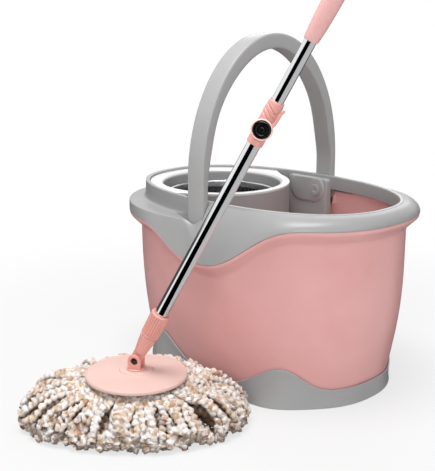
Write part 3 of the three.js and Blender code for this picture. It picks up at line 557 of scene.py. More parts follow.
def base():
    turn = even_turns(360, BASE_LENGTH, BASE_WIDTH)
    degrees = np.degrees(np.abs(np.arctan2(np.sin(turn), np.cos(turn))))
    shares = [np.exp(-(((degrees - at) / LOBE_SPREAD) ** 2)) for at, _ in LOBES]
    crest = SIDE_RISE + (END_RISE - SIDE_RISE) * np.cos(turn) ** 2
    crest = crest + sum(rise * share for (_, rise), share in zip(LOBES, shares))
    foot_width = BASE_WAIST + LOBE_SWELL * np.minimum(1.0, shares[0] + shares[1])
    clear = BASE_GAP + BASE_WALL
    tub_length, tub_width = WALL_STATIONS[0, 1:]

    def row(height, inset):
        flare = (1 - np.minimum(1.0, height / crest)) ** 1.6
        return wall_row(turn, height, (BASE_LENGTH - tub_length - clear) * flare + clear - inset,
                        (foot_width - tub_width - clear) * flare + clear - inset)

    floor, plate = np.zeros(len(turn)), np.full(len(turn), BASE_PLATE)
    rows = [row(floor, 6.0), row(floor, 0.0)]
    rows += [row(plate + (crest - plate) * share, 0.0) for share in np.linspace(0.06, 1.0, 12)]
    rows += [row(plate + (crest - plate) * share, BASE_WALL) for share in np.linspace(1.0, 0.25, 6)]
    rows += [row(plate, BASE_WALL), row(plate, INNER_RIM)]
    radii = [0, 1.6] + [0] * 11 + [1.25, 1.25] + [0] * 5 + [0, 0]
    columns = rounded(np.stack(rows, axis=1), radii, 4)
    return ring_wall("base", columns.transpose(1, 0, 2), "bucket", grey_plastic, ends="fan",
                     replaces=["base_tray"], slot="grey_plastic", sharp=32)


# ------------------------------------------------------------------ upper frame
FRAME_SKIN, RIM_BAND, LIP_WALL, LIP_DEPTH = 2.6, 6.0, 2.4, 21.0
SLOT_EDGES = (134.2, 134.6, 147.4, 147.8)  # both sides of a slot, each with its steep face between two
SLOT_ROOM = 1.2  # between a leg's round end and its slot
SKIN_STEPS = 7


def slot_rows(turn, curve):
    """Adds rows to the skin that run along the edges of the handle legs' slots."""
    rim, out = rim_and_outward(turn)
    columns = []
    for column, start, lean in zip(curve, np.abs(rim[:, 1]), np.abs(out[:, 1])):
        at = np.clip((np.array(SLOT_EDGES) - start) / max(lean, 0.3), 0.05, column[-1, 0] - 0.5)
        extra = np.stack([at, np.interp(at, column[:, 0], column[:, 1])], axis=1)
        column = np.concatenate([column, extra])
        columns.append(column[np.argsort(column[:, 0], kind="stable")])
    return np.stack(columns)


def leg_slot(points, grow):
    """Sinks the frame's skin into the slot in which a handle leg turns: a round seat for the
    leg's end, whose floor climbs to the ledge where the folded strap comes down."""
    x, y, z = points[..., 0], np.abs(points[..., 1]), points[..., 2]
    room = STRAP / 2 + SLOT_ROOM + grow
    corner_x, corner_z = PIVOT_X - room * math.cos(FOLD), PIVOT_Z - room * math.sin(FOLD)
    seat = PIVOT_Z - np.sqrt(np.maximum(room ** 2 - (x - PIVOT_X) ** 2, 0.0))
    floor = np.where(x > corner_x, seat, corner_z + (corner_x - x) / math.tan(FOLD))
    near, far = SLOT_EDGES[1] - 0.02 - grow, SLOT_EDGES[2] + 0.02 + grow
    inside = (y >= near) & (y <= far) & (x < PIVOT_X + room)
    out = points.copy()
    out[..., 2] = np.where(inside, np.minimum(z, floor), z)
    return out


def skin_curve(profile):
    """The frame's skin between its control points, as one flowing curve."""
    return rounded(profile, [0.0] + [50.0] * (profile.shape[1] - 2) + [0.0], SKIN_STEPS)


def frame_turns():
    """Turns round the oval, close together where the handle legs sit."""
    fine = np.linspace(0, 2 * math.pi, 24001)
    rim = oval(fine, FLANGE_LENGTH, FLANGE_WIDTH)
    run = np.concatenate([[0], np.linalg.norm(np.diff(rim, axis=0), axis=1)])
    near = smoother((rim[:, 0] + 125.0) / 15.0) * smoother((25.0 - rim[:, 0]) / 10.0)
    near = near * (np.abs(rim[:, 1]) > 100)
    weight = np.cumsum(run * (1.0 + 4.5 * near))
    return np.interp(np.linspace(0, weight[-1], 620, endpoint=False), weight, fine)


def upper_frame():
    """The moulded frame as one section carried round the oval: its outer skin from the rim down,
    its lower edge, the skin's inner face, and the lip inside the rim."""
    turn = frame_turns()
    profile = frame_profile(turn)
    outer = skin_curve(profile)
    inner = skin_curve(inset_profile(profile, FRAME_SKIN))
    seam = profile[:, -1:, 1:]
    edge_out, edge_in = outer[:, -1:, :1], inner[:, -1:, :1]
    edge = lambda across, drop: np.concatenate([across, seam - drop], axis=2)
    turn_under = [edge(edge_out - 0.25, 0.1), edge(edge_out - 0.9, 0.45), edge(edge_in + 0.9, 0.45)]
    inner = np.concatenate([inner[:, :-1], np.concatenate([edge_in, seam], axis=2)], axis=1)[:, ::-1]
    wall, band, top = -RIM_BAND + LIP_WALL, -RIM_BAND, RIM_HEIGHT
    lip = np.array([[wall, top - 6], [wall, top - LIP_DEPTH], [band, top - LIP_DEPTH],
                    [band, top], [-0.2, top]])
    lip = np.concatenate([lip, [[0.0, top - RIM_SOFT]]])
    lip = rounded(lip[None], [0.0, 0.9, 0.9, 2.2, 1.6, 0.0], 5)[0][:-1]
    lip = np.repeat(lip[None], len(turn), axis=0)
    loops = np.concatenate([
        leg_slot(place_profile(turn, slot_rows(turn, outer)), 0.0),
        place_profile(turn, np.concatenate(turn_under, axis=1)),
        leg_slot(place_profile(turn, inner[:, :-1]), FRAME_SKIN),
        place_profile(turn, lip),
    ])
    return ring_wall("upper_frame", loops, "bucket", frame_grey, sharp=38,
                     replaces=["upper_frame"], slot="grey_plastic")


def box_section(half_x, half_z, radius, steps=6):
    """Rounded rectangle in X and Z."""
    corners = [[half_x, -half_z], [half_x, half_z], [-half_x, half_z], [-half_x, -half_z]]
    return rounded(np.array([corners], float), [radius] * 4, steps)[0]


def pivot_panel(side):
    """Panel inside the rim, with the round boss that the handle turns in."""
    word = "back" if side > 0 else "front"
    before, after, low, high = -60.0, 15.0, 204.0, 268.0
    centre_x, centre_z = (before + after) / 2, (low + high) / 2
    outline = box_section((after - before) / 2, (high - low) / 2, 5.0)
    rows = []
    for inset, depth in ((0.0, 129.4), (0.0, 119.4), (0.35, 118.5), (1.2, 118.0), (2.4, 117.98)):
        scale = 1 - inset / np.array([(after - before) / 2, (high - low) / 2])
        flat = outline * scale
        rows.append(np.stack([flat[:, 0] + centre_x, np.full(len(flat), side * depth),
                              flat[:, 1] + centre_z], axis=1))
    panel = ring_wall(f"pivot_panel_{word}", np.stack(rows), "bucket", grey_plastic, ends="fan",
                      replaces=["upper_frame"], slot="grey_plastic")
    # the boss is a long round bulge, behind which the handle leg turns
    turn = full_turn(120)
    rows = []
    for reach, depth in ((22.0, 119.0), (22.0, 117.9), (21.0, 116.9), (19.0, 116.2), (16.5, 116.0)):
        x = np.where(np.cos(turn) < 0, PIVOT_X - 30.0, PIVOT_X - 6.0) + reach * np.cos(turn)
        z = PIVOT_Z + 1.0 + reach * np.sin(turn)
        rows.append(np.stack([np.minimum(x, after - 0.4), np.full(len(turn), side * depth),
                              np.minimum(z, high - 0.6)], axis=1))
    bulge = ring_wall(f"pivot_boss_{word}", np.stack(rows), "bucket", grey_plastic, ends="fan",
                      replaces=["upper_frame"], slot="grey_plastic")
    return panel, bulge


# ------------------------------------------------------------------ spinner and basket
THROAT, MOUTH, GUARD = 92.6, 89.0, 104.0
GUARD_WALL, GUARD_BOTTOM = 2.6, 150.0
DECK, MOUTH_WALL = 4.0, 2.4
SPINNER = (SPINNER_X, 0.0)  # the basket's upright axis


def deck_reach(angles):
    """The deck's edge: round on the wash side, out to the rim's lip on the other."""
    clear = RIM_BAND + SEAT_GAP
    half_length, half_width = RIM_LENGTH - clear, RIM_WIDTH - clear
    turned_back = np.degrees(np.abs(np.arctan2(np.sin(angles), np.cos(angles))))
    reach = GUARD + 60.0 * smoother((turned_back - 60.0) / 70.0)
    for _ in range(60):
        x, y = SPINNER_X + reach * np.cos(angles), reach * np.sin(angles)
        over = (np.abs(x) / half_length) ** OVAL_SQUARENESS + (np.abs(y) / half_width) ** OVAL_SQUARENESS
        reach = np.where(over > 1.0, reach * (1 - 0.25 * (over - 1.0)), reach)
    return reach


def spinner_housing():
    angles = full_turn(240)
    edge = np.maximum(deck_reach(angles), GUARD + 0.04)
    section = [(GUARD, GUARD_BOTTOM), (GUARD, DECK_TOP - DECK), (edge - 0.02, DECK_TOP - DECK),
               (edge, DECK_TOP), (THROAT, DECK_TOP), (MOUTH, DECK_TOP - 4), (MOUTH, DECK_TOP - 20),
               (MOUTH + MOUTH_WALL, DECK_TOP - 20), (MOUTH + MOUTH_WALL, DECK_TOP - 8.5),
               (GUARD - GUARD_WALL, DECK_TOP - 5), (GUARD - GUARD_WALL, GUARD_BOTTOM)]
    radii = [1.2, 0.4, 0.4, 1.0, 1.4, 2.0, 1.0, 1.0, 2.0, 3.0, 1.2]
    rows = np.stack([level_row(angles, reach, height, SPINNER) for reach, height in section], axis=1)
    columns = rounded(rows, radii, 5)
    return ring_wall("spinner_housing", columns.transpose(1, 0, 2), "bucket", spinner_finish,
                     replaces=["spinner_housing"], slot="pale_plastic", sharp=32)


BASKET_TOP, BASKET_BOTTOM = 252.0, 146.0
SIDE_LOW, SIDE_HIGH = BASKET_BOTTOM + 4.0, BASKET_TOP - 2.0
LOW_RADIUS, HIGH_RADIUS = 74.0, 82.0
HOLES_ROUND, HOLE_ROWS, HOLE_RADIUS = 76, 14, 1.75
HOLES_LOW, HOLES_HIGH = 157.0, 243.0


def basket_radius(height):
    return LOW_RADIUS + (height - SIDE_LOW) * (HIGH_RADIUS - LOW_RADIUS) / (SIDE_HIGH - SIDE_LOW)


def perforated_side(wall):
    """The basket's side as a lattice of half cells, each cell with an eight-sided hole through it."""
    around, up = 2 * HOLES_ROUND, 2 * HOLE_ROWS
    pitch = (HOLES_HIGH - HOLES_LOW) / HOLE_ROWS
    points, faces = [], []

    def at(angle, height, inward):
        radius = basket_radius(height) - inward
        return (SPINNER_X + radius * math.cos(angle), radius * math.sin(angle), height)

    step = 2 * math.pi / around
    for inward in (0.0, wall):
        for row in range(up + 1):
            for column in range(around):
                points.append(at(column * step, HOLES_LOW + row * pitch / 2, inward))
    layer = (up + 1) * around
    lattice = lambda side, row, column: side * layer + row * around + column % around
    ring = [(-1, -1), (0, -1), (1, -1), (1, 0), (1, 1), (0, 1), (-1, 1), (-1, 0)]
    for row in range(1, up, 2):
        for column in range(1, around, 2):
            start = len(points)
            for side, inward in enumerate((0.0, wall)):
                for across, rise in ring:
                    size = HOLE_RADIUS / math.hypot(across, rise)
                    height = HOLES_LOW + row * pitch / 2 + rise * size
                    angle = column * step + across * size / basket_radius(height)
                    points.append(at(angle, height, inward))
            for k in range(8):
                n = (k + 1) % 8
                a, b = [lattice(0, row + ring[i][1], column + ring[i][0]) for i in (k, n)]
                c, d = [lattice(1, row + ring[i][1], column + ring[i][0]) for i in (k, n)]
                faces.append((a, b, start + n, start + k))
                faces.append((d, c, start + 8 + k, start + 8 + n))
                faces.append((start + k, start + n, start + 8 + n, start + 8 + k))
    return points, faces


def basket():
    wall = 0.9
    points, faces = perforated_side(wall)
    side = piece("basket", points, faces, "wringer_basket", basket_steel_painted_shade_finish, sharp=30,
                 replaces=["basket_cup"], slot="steel_bright")
    low, high = basket_radius(HOLES_LOW), basket_radius(HOLES_HIGH)
    rim = turned_piece(
        "basket_rim",
        [(high, HOLES_HIGH), (HIGH_RADIUS, SIDE_HIGH), (84.6, BASKET_TOP - 1.8), (85.0, BASKET_TOP + 0.2),
         (82.4, BASKET_TOP + 1.3), (80.9, BASKET_TOP - 0.5), (high - wall, HOLES_HIGH)],
        [0, 0.8, 1.1, 1.3, 1.3, 0.8, 0], "wringer_basket", brushed_steel_finish, SPINNER, 144,
        replaces=["basket_cup"], slot="steel_bright")
    floor, rise = BASKET_BOTTOM, 1.2
    foot = turned_piece(
        "basket_floor",
        [(low, HOLES_LOW), (LOW_RADIUS, SIDE_LOW), (70.0, floor), (52.0, floor), (50.0, floor + rise),
         (34.0, floor + rise), (32.0, floor), (5.0, floor), (5.0, floor + rise), (32.4, floor + rise),
         (34.4, floor + 2.3), (49.6, floor + 2.3), (51.6, floor + rise), (69.4, floor + rise),
         (73.0, floor + 4.6), (low - wall, HOLES_LOW)],
        [0, 4.0, 4.0, 1, 1, 1, 1, 0.2, 0.2, 1, 1, 1, 1, 4.0, 3.0, 0], "wringer_basket",
        basket_steel_painted_shade_finish, SPINNER, 144, replaces=["basket_cup"], slot="steel_bright")
    return side, rim, foot


SPINDLE, SPINDLE_FOOT, SPINDLE_TOP = 4.0, 20.0, 172.2
HUB_BORE, HUB_LOW, HUB_TOP = 4.4, 147.5, 172.5
POST_BORE, POST_TOP, BUSH_SEAT, BUSH_TOP = 5.5, 120.0, 106.0, 123.3


def basket_fittings():
    """Hub, nut, spindle, post and bush under and inside the basket."""
    hub = turned_piece(
        "basket_hub",
        [(HUB_BORE, HUB_LOW), (26.0, HUB_LOW), (25.0, 152.0), (15.0, 156.0), (12.0, 169.0), (9.0, HUB_TOP),
         (HUB_BORE, HUB_TOP)],
        [0.2, 0.8, 2.0, 4.0, 3.0, 1.2, 0.4], "wringer_basket", grey_plastic, SPINNER, 72,
        replaces=["basket_hub"], slot="grey_plastic")
    angles = full_turn(96)
    hexagon = np.cos(math.pi / 6) / np.cos((angles % (math.pi / 3)) - math.pi / 6)
    rows = []
    for reach, height, square in ((6.6, 172.8, 1.0), (7.4, 173.3, 1.0), (7.4, 176.0, 1.0), (6.9, 176.8, 0.6),
                                  (5.0, 177.2, 0.0), (4.6, 177.9, 0.0), (2.5, 178.4, 0.0)):
        flat = 1 + (hexagon - 1) * square
        rows.append(level_row(angles, reach * flat, height, SPINNER))
    nut = ring_wall("spindle_nut", np.stack(rows), "wringer_basket", brushed_steel_finish, ends="fan",
                    replaces=["spindle_nut"], slot="steel_bright")
    spindle = turned_piece(
        "basket_spindle",
        [(CORE, SPINDLE_FOOT), (SPINDLE, SPINDLE_FOOT), (SPINDLE, 139.7), (14.0, 141.7), (14.0, 145.7),
         (SPINDLE, 145.7), (SPINDLE, SPINDLE_TOP), (CORE, SPINDLE_TOP)],
        [0, 1.0, 1.5, 0.8, 0.8, 0.3, 0.4, 0], "wringer_basket", brushed_steel_finish, SPINNER, 48,
        replaces=["basket_spindle"], slot="steel_bright")
    foot = BASE_PLATE + FLOOR_THICKNESS + 2 * SEAT_GAP
    post = turned_piece(
        "spindle_post",
        [(POST_BORE, foot + 8), (POST_BORE, BUSH_SEAT), (8.3, BUSH_SEAT), (8.3, POST_TOP), (14.0, POST_TOP),
         (17.0, foot + 30), (23.0, foot + 14), (34.0, foot + 5), (34.0, foot), (0.4, foot), (0.4, foot + 8)],
        [0, 0, 0, 0.8, 1.5, 6.0, 9.0, 2.5, 0.8, 0, 0], "bucket", grey_plastic, SPINNER, 64,
        replaces=["spindle_post"], slot="grey_plastic")
    bush = turned_piece(
        "spindle_bush",
        [(4.5, 106.3), (8.0, 106.3), (8.0, 120.3), (11.0, 120.3), (11.0, BUSH_TOP), (4.5, BUSH_TOP)],
        [0.2, 0.5, 0.2, 0.6, 0.8, 0.5], "bucket", white_plastic, SPINNER, 48,
        replaces=["spindle_bush"], slot="white_plastic")
    return hub, nut, spindle, post, bush


# ------------------------------------------------------------------ carrying handle
LEG_HALF_WIDTH, APEX, SPRING = 146.0, 494.0, 300.0  # above SPRING the legs curve into the arch
ARCH_DEEPER, TOP_DEEPER = 0.27, 0.5  # the strap is this much deeper in the arch, and again at its top
LEG_STEPS = 8


def leg_depth(height):
    """The strap keeps its plain thickness where it folds past the rim and deepens above."""
    return 1.0 + 0.18 * smoother((height - 290.0) / 40.0)


def handle_rows():
    """Centre pairs along the strap: its outer and inner edge in Y and Z, and its half width."""
    arch = np.linspace(0, math.pi, 97)

    def edge(inset):
        rise = np.sin(arch)
        deeper = inset * (leg_depth(SPRING + (APEX - SPRING) * rise) + ARCH_DEEPER * smoother(rise / 0.3)
                          + TOP_DEEPER * smoother((rise - 0.4) / 0.6))
        return np.stack([(LEG_HALF_WIDTH - deeper) * np.cos(arch),
                         SPRING + (APEX - SPRING - deeper) * np.sin(arch)], axis=1)

    # below the pivot the strap ends in a half round
    close = np.linspace(math.pi / 2 - 0.06, 0, 14)
    leg_heights = np.concatenate([PIVOT_Z - STRAP / 2 * np.sin(close),
                                  np.linspace(PIVOT_Z + 6, SPRING - 6, LEG_STEPS)])
    leg_widths = np.concatenate([STRAP / 2 * np.cos(close), np.full(LEG_STEPS, STRAP / 2)])

    def leg(side, inset):
        deeper = inset * leg_depth(leg_heights)
        return np.stack([side * (LEG_HALF_WIDTH - deeper), leg_heights], axis=1)

    outer = np.concatenate([leg(1, 0.0), edge(0.0), leg(-1, 0.0)[::-1]])
    inner = np.concatenate([leg(1, STRAP_THICKNESS), edge(STRAP_THICKNESS), leg(-1, STRAP_THICKNESS)[::-1]])
    half = np.concatenate([leg_widths, np.full(len(arch), STRAP / 2), leg_widths[::-1]])
    return outer, inner, half


def carry_handle():
    outer, inner, half = handle_rows()
    rows = []
    for (oy, oz), (iy, iz), width in zip(outer, inner, half):
        soft = min(2.4, width * 0.9)
        corners = [[width, 0.0], [width, STRAP_THICKNESS], [-width, STRAP_THICKNESS], [-width, 0.0]]
        section = rounded(np.array(corners), [soft] * 4, 4)
        share = section[:, 1] / STRAP_THICKNESS
        rows.append(np.stack([PIVOT_X + section[:, 0], oy + (iy - oy) * share,
                              oz + (iz - oz) * share], axis=1))
    strap = ring_wall("carry_handle", np.stack(rows), "carry_handle", grey_plastic, ends="fan",
                      replaces=["handle_bail"], slot="grey_plastic", sharp=50)
    stubs = []
    for side, word in ((-1, "front"), (1, "back")):
        profile = np.array([[0.2, 136.0], [6.0, 136.0], [6.0, 116.4], [0.2, 116.4]]) * [1, side]
        profile = rounded(profile, [0, 0, 1.0, 0], 3)
        stubs.append(across_piece(f"handle_stub_{word}", profile, (PIVOT_X, PIVOT_Z), "carry_handle",
                                  grey_plastic, 40, replaces=["handle_bail"], slot="grey_plastic"))
        face = 115.4
        clip = np.array([[0.2, face], [7.0, face], [9.0, face - 0.8], [9.0, face - 2.2], [3.4, face - 2.2],
                         [3.0, face - 1.6], [0.2, face - 1.6]]) * [1, side]
        clip = rounded(clip, [0, 0.5, 0.6, 0.7, 0.3, 0.3, 0], 3)
        stubs.append(across_piece(f"handle_clip_{word}", clip, (PIVOT_X, PIVOT_Z), "carry_handle",
                                  grey_plastic, 48, replaces=[f"handle_clip_{word}"], slot="grey_plastic"))
    return strap, stubs


# ------------------------------------------------------------------ mop head
REACH_LEFT, REACH_RIGHT, REACH_FRONT, REACH_BACK = 158.0, 151.0, 103.0, 117.0
MOP_FACING = math.radians(44.3)
STRAND_LAYERS = (80, 82, 78, 72)  # strands in each layer, from the top one down
LAYER_HEIGHTS = (1.0, 0.74, 0.5, 0.26)  # a layer's height as a share of the pile's
LAYER_REACHES = ((0.80, 0.92), (0.88, 0.97), (0.93, 1.0), (0.96, 1.0))
STRAND_START, EDGE_ROOM = 47.0, 4.5  # where strands leave the plate, and their room at the pile's edge
# heights of a strand's middle line: under the plate, at its end, and the lowest that it may lie
UNDER_PLATE, AT_END, LOWEST = 57.0, 5.4, 5.2
FLOOR_CLEAR = 0.9
# the pile of strands as shares of its reach and heights, and the surface that its shade is from
PILE = ([0.0, 0.3, 0.45, 0.6, 0.78, 0.9, 0.96, 1.0], [61, 61, 60, 57, 51, 43, 34, 18])
PILE_SURFACE = ([0.0, 0.45, 0.6, 0.78, 0.9, 1.0], [61, 60, 57, 51, 44, 30])


def strand_reach(angle):
    """How far the strands lie from the mop's middle: they are pushed against the bucket."""
    across, along = math.cos(angle), math.sin(angle)
    return 1 / math.hypot(across / (REACH_RIGHT if across > 0 else REACH_LEFT),
                          along / (REACH_BACK if along > 0 else REACH_FRONT))


def crown_height(share, angle):
    """Height of the pile of strands at a share of its reach."""
    heaped = 8.0 * max(0.0, math.sin(angle)) * float(smoother((share - 0.5) / 0.2))
    return float(np.interp(share, *PILE)) + heaped


def strand_path(rng, angle, layer):
    """Middle line of one looped strand: out over the pile and down its side to the floor."""
    reach = strand_reach(angle) * rng.uniform(0.965, 1.0) - EDGE_ROOM
    sway = rng.uniform(-0.12, 0.12)
    lift = rng.uniform(-4.0, 2.0)
    outward = reach * rng.uniform(*LAYER_REACHES[layer])
    points = []
    for share in np.linspace(0.0, 1.0, 7):
        radius = STRAND_START + (outward - STRAND_START) * share
        at = angle + sway * share ** 2 + rng.uniform(-0.012, 0.012)
        crown = crown_height(radius / (reach + EDGE_ROOM), angle) - 5.0
        top = crown * LAYER_HEIGHTS[layer] + lift * share
        wave = rng.uniform(-3.4, 1.6) * (share > 0.1)
        points.append((radius, at, min(top, UNDER_PLATE) + wave))
    _, bend, edge = points[-1]
    turn_in = rng.uniform(0.0, 7.0)
    for share in (0.25, 0.5, 0.75, 1.0):
        bulge = math.sin(share * math.pi * 0.75)
        radius = outward + (reach - outward) * min(1.0, share * 2.2) + 1.5 * bulge - turn_in * share ** 2
        at = bend + rng.uniform(-0.02, 0.02)
        points.append((min(radius, reach) + rng.uniform(-3.0, 1.5), at, edge + (AT_END - edge) * share))
    return np.array([(r * math.cos(a), r * math.sin(a), max(z, LOWEST)) for r, a, z in points])


def spaced_curve(path, spacing):
    """Points at equal spacing along a smooth curve through a path."""
    extended = np.concatenate([[2 * path[0] - path[1]], path, [2 * path[-1] - path[-2]]])
    fine = []
    for i in range(1, len(extended) - 2):
        p0, p1, p2, p3 = extended[i - 1:i + 3]
        t = np.linspace(0, 1, 12, endpoint=False)[:, None]
        fine.append(0.5 * (2 * p1 + (p2 - p0) * t + (2 * p0 - 5 * p1 + 4 * p2 - p3) * t ** 2
                           + (3 * p1 - p0 - 3 * p2 + p3) * t ** 3))
    fine = np.concatenate(fine + [path[-1:]])
    run = np.concatenate([[0], np.cumsum(np.linalg.norm(np.diff(fine, axis=0), axis=1))])
    count = max(8, int(run[-1] / spacing))
    at = np.linspace(0, run[-1], count)
    return np.stack([np.interp(at, run, fine[:, k]) for k in range(3)], axis=1), at


def strand_skin(rng, path, thick):
    """Two plies twisted round each other and tufted along their length."""
    middle, run = spaced_curve(path, 2.3)
    along = np.gradient(middle, axis=0)
    along /= np.linalg.norm(along, axis=1, keepdims=True)
    side = np.cross(along, [0.0, 0.0, 1.0])
    side /= np.maximum(np.linalg.norm(side, axis=1, keepdims=True), 1e-3)
    over = np.cross(side, along)
    turn = full_turn(9)
    twist = run * (2 * math.pi / rng.uniform(15.0, 21.0)) * rng.choice((-1, 1)) + rng.uniform(0, 6.28)
    lobes = 1.0 + 0.26 * np.cos(2 * (turn[None, :] - twist[:, None]))
    tuft = 1.0 + 0.17 * np.sin(run * (2 * math.pi / rng.uniform(7.0, 10.0)) + rng.uniform(0, 6.28))
    rough = np.array([[rng.uniform(0.9, 1.1) for _ in turn] for _ in run])
    close = np.minimum(1.0, np.sqrt(np.clip(np.minimum(run, run[-1] - run + 0.3) / thick, 0.02, 1)))
    size = thick * lobes * (tuft * close)[:, None] * rough
    # painted shade: the yarn is darker on its under side, between its plies and where it is drawn in
    painted_underside_shade = smoother(0.42 - np.sin(turn))[None, :]
    shade = np.minimum(1.0, painted_underside_shade + 0.9 * smoother((0.98 - lobes) / 0.3) * (tuft < 1.0)[:, None]
                       + 0.5 * smoother((0.97 - tuft) / 0.16)[:, None])
    outward = (np.cos(turn)[None, :, None] * side[:, None, :]
               + np.sin(turn)[None, :, None] * over[:, None, :])
    return middle[:, None, :] + size[..., None] * outward, shade


def mop_strands():
    """Every looped strand, in layers. They stay inside the mop's outline and off the floor, and
    each point holds painted shade for the yarn's colour: darker deep in the pile and on a strand's under
    side."""
    rng = random.Random(41)
    points, faces, shades = [], [], []
    for layer, count in enumerate(STRAND_LAYERS):
        for i in range(count):
            angle = (i + 0.5 * (layer % 2) + rng.uniform(-0.33, 0.33)) * 2 * math.pi / count
            path = strand_path(rng, angle, layer)
            skin, shade = strand_skin(rng, path, rng.uniform(3.9, 5.3))
            start = sum(len(block) for block in points)
            rows, sides = skin.shape[:2]
            flat = skin.reshape(-1, 3)
            points.append(flat)
            faces += grid_faces(rows, sides, start=start)
            faces.append(tuple(start + c for c in reversed(range(sides))))
            faces.append(tuple(start + (rows - 1) * sides + c for c in range(sides)))
            shades.append(shade.reshape(-1))
    flat = np.concatenate(points)
    flat[:, 2] = np.maximum(flat[:, 2], FLOOR_CLEAR)
    reach = np.array([strand_reach(math.atan2(y, x)) for x, y in flat[:, :2]])
    radius, edge = np.hypot(flat[:, 0], flat[:, 1]), reach + 1.5
    flat[:, :2] /= np.maximum(radius / edge, 1.0)[:, None]
    radius = np.minimum(radius, edge)
    crown = np.interp(radius / reach, *PILE_SURFACE)
    buried = np.minimum(crown - flat[:, 2], reach - radius)
    # painted shade: points deep in the pile and on a strand's under side get a darker yarn colour
    painted_shade_depths = np.minimum(1.0, smoother((buried - 6.0) / 12.0) + 0.72 * np.concatenate(shades))
    turn = np.array([[math.cos(MOP_FACING), math.sin(MOP_FACING)],
                     [-math.sin(MOP_FACING), math.cos(MOP_FACING)]])
    flat[:, :2] = flat[:, :2] @ turn + MOP
    strands = piece("mop_strands", flat, faces, "mop_head", yarn_finish, replaces=["mop_strands"],
                    slot="yarn", sharp=75)
    layer = strands.data.attributes.new(name="depth", type="FLOAT", domain="POINT")
    layer.data.foreach_set("value", painted_shade_depths)
    return strands


def refill_ring():
    return turned_piece(
        "refill_ring",
        [(44.0, 62.0), (58.0, 62.0), (58.0, 64.8), (52.0, 65.8), (50.5, 66.5), (44.0, 67.6)],
        [0.8, 0.8, 1.0, 1.0, 0.6, 0.5], "mop_head", white_plastic, MOP, 96,
        replaces=["refill_ring"], slot="white_plastic")


CROWN, BOSS_TOP, PLATE_RIM = 72.0, 73.4, 66.5


def mop_plate():
    wall = 2.2
    return turned_piece(
        "mop_plate",
        [(CORE, BOSS_TOP), (22.2, BOSS_TOP), (23.0, CROWN - 0.3), (44.0, CROWN - 1.4), (58.0, CROWN - 3.4),
         (63.4, PLATE_RIM + 1.2), (64.6, PLATE_RIM + 1.9), (66.4, PLATE_RIM + 1.2), (67.0, PLATE_RIM - 0.4),
         (67.0, PLATE_RIM - 3.0), (64.8, PLATE_RIM - 3.0), (64.6, PLATE_RIM - 1.4),
         (57.0, CROWN - 3.4 - wall), (44.0, CROWN - 1.4 - wall), (CORE, CROWN - wall)],
        [0, 0.7, 0.8, 9.0, 6.0, 1.0, 0.9, 1.0, 1.2, 0.8, 0.6, 1.0, 5.0, 6.0, 0], "mop_head", plate_pink,
        MOP, 144, replaces=["mop_plate"], slot="pink_plastic", sharp=50)


# ------------------------------------------------------------------ hinge
EAR_RADIUS, EYE_RADIUS, EYE_DEPTH, PIN_RADIUS, TONGUE, EAR = 8.7, 4.9, 3.6, 3.2, 7.4, 5.4
EAR_FACE = TONGUE / 2 + 0.5


def at_hinge(points):
    """From hinge coordinates, Y along the pin, to their place on the mop head."""
    turn = Matrix.Rotation(FACING, 3, "Z")
    return np.asarray(points) @ np.array(turn).T + np.array([MOP_X, MOP_Y, HINGE_Z])


def eyed_slab(name, reach, section, body, finish, place, steps=96, **more):
    """A slab across Y with a round eye. Each row of its section is (inset, radius, y): so far in
    from the slab's own outline, or a plain circle of that radius where the inset is None."""
    angles = full_turn(steps)
    rows = []
    for inset, radius, y in section:
        rows.append(upright_row(angles, radius if inset is None else reach(angles) - inset, y))
    return ring_wall(name, moved(np.stack(rows), place), body, finish, **more)


def ear_reach(angles, radius, foot):
    """A round eye that runs straight down into its foot."""
    down = np.sin(angles) < 0
    straight = np.minimum(radius / np.maximum(np.abs(np.cos(angles)), 1e-3),
                          foot / np.maximum(np.abs(np.sin(angles)), 1e-3))
    return np.where(down, straight, radius)


def hinge_foot():
    foot = HINGE_Z - BOSS_TOP - SEAT_GAP
    made = []
    for side, word in ((-1, "front"), (1, "back")):
        near, far = EAR_FACE * side, (EAR_FACE + EAR) * side
        soft = 0.7 * side
        section = [(None, PIN_RADIUS + 0.3, near), (0.7, 0, near), (0.2, 0, near + soft * 0.3),
                   (0.0, 0, near + soft), (0.0, 0, far - soft), (0.2, 0, far - soft * 0.3), (0.7, 0, far),
                   (None, EYE_RADIUS + 0.5, far), (None, EYE_RADIUS, far - 0.5 * side),
                   (None, EYE_RADIUS, far - EYE_DEPTH * side),
                   (None, PIN_RADIUS + 0.3, far - EYE_DEPTH * side)]
        made.append(eyed_slab(f"hinge_ear_{word}", lambda a: ear_reach(a, EAR_RADIUS, foot - 1.0), section,
                              "mop_head", mop_pink, at_hinge, replaces=["hinge_foot"], slot="pink_plastic"))
    made.append(turned_piece(
        "hinge_foot", [(CORE, 74.0), (CORE, 75.9), (11.0, 75.9), (13.0, 74.8), (13.0, 73.7), (CORE, 73.7)],
        [0, 0, 1.2, 0.8, 0.3, 0], "mop_head", mop_pink, MOP, 72,
        replaces=["hinge_foot"], slot="pink_plastic"))
    return made


def hinge_pin():
    seat = EAR_FACE + EAR - EYE_DEPTH + SEAT_GAP
    head = PIN_RADIUS + 1.1
    section = [(None, CORE, -seat - 1.0), (None, head - 0.4, -seat - 1.0), (None, head, -seat - 0.7),
               (None, head, -seat), (None, PIN_RADIUS, -seat), (None, PIN_RADIUS, seat), (None, head, seat),
               (None, head, seat + 0.7), (None, head - 0.4, seat + 1.0), (None, CORE, seat + 1.0)]
    # the pin's dark colour is painted shade for the hole it sits in
    return eyed_slab("hinge_pin", None, section, "mop_head", pin_painted_shade_finish, at_hinge, 48,
                     replaces=["hinge_pin"], slot="steel_bright")


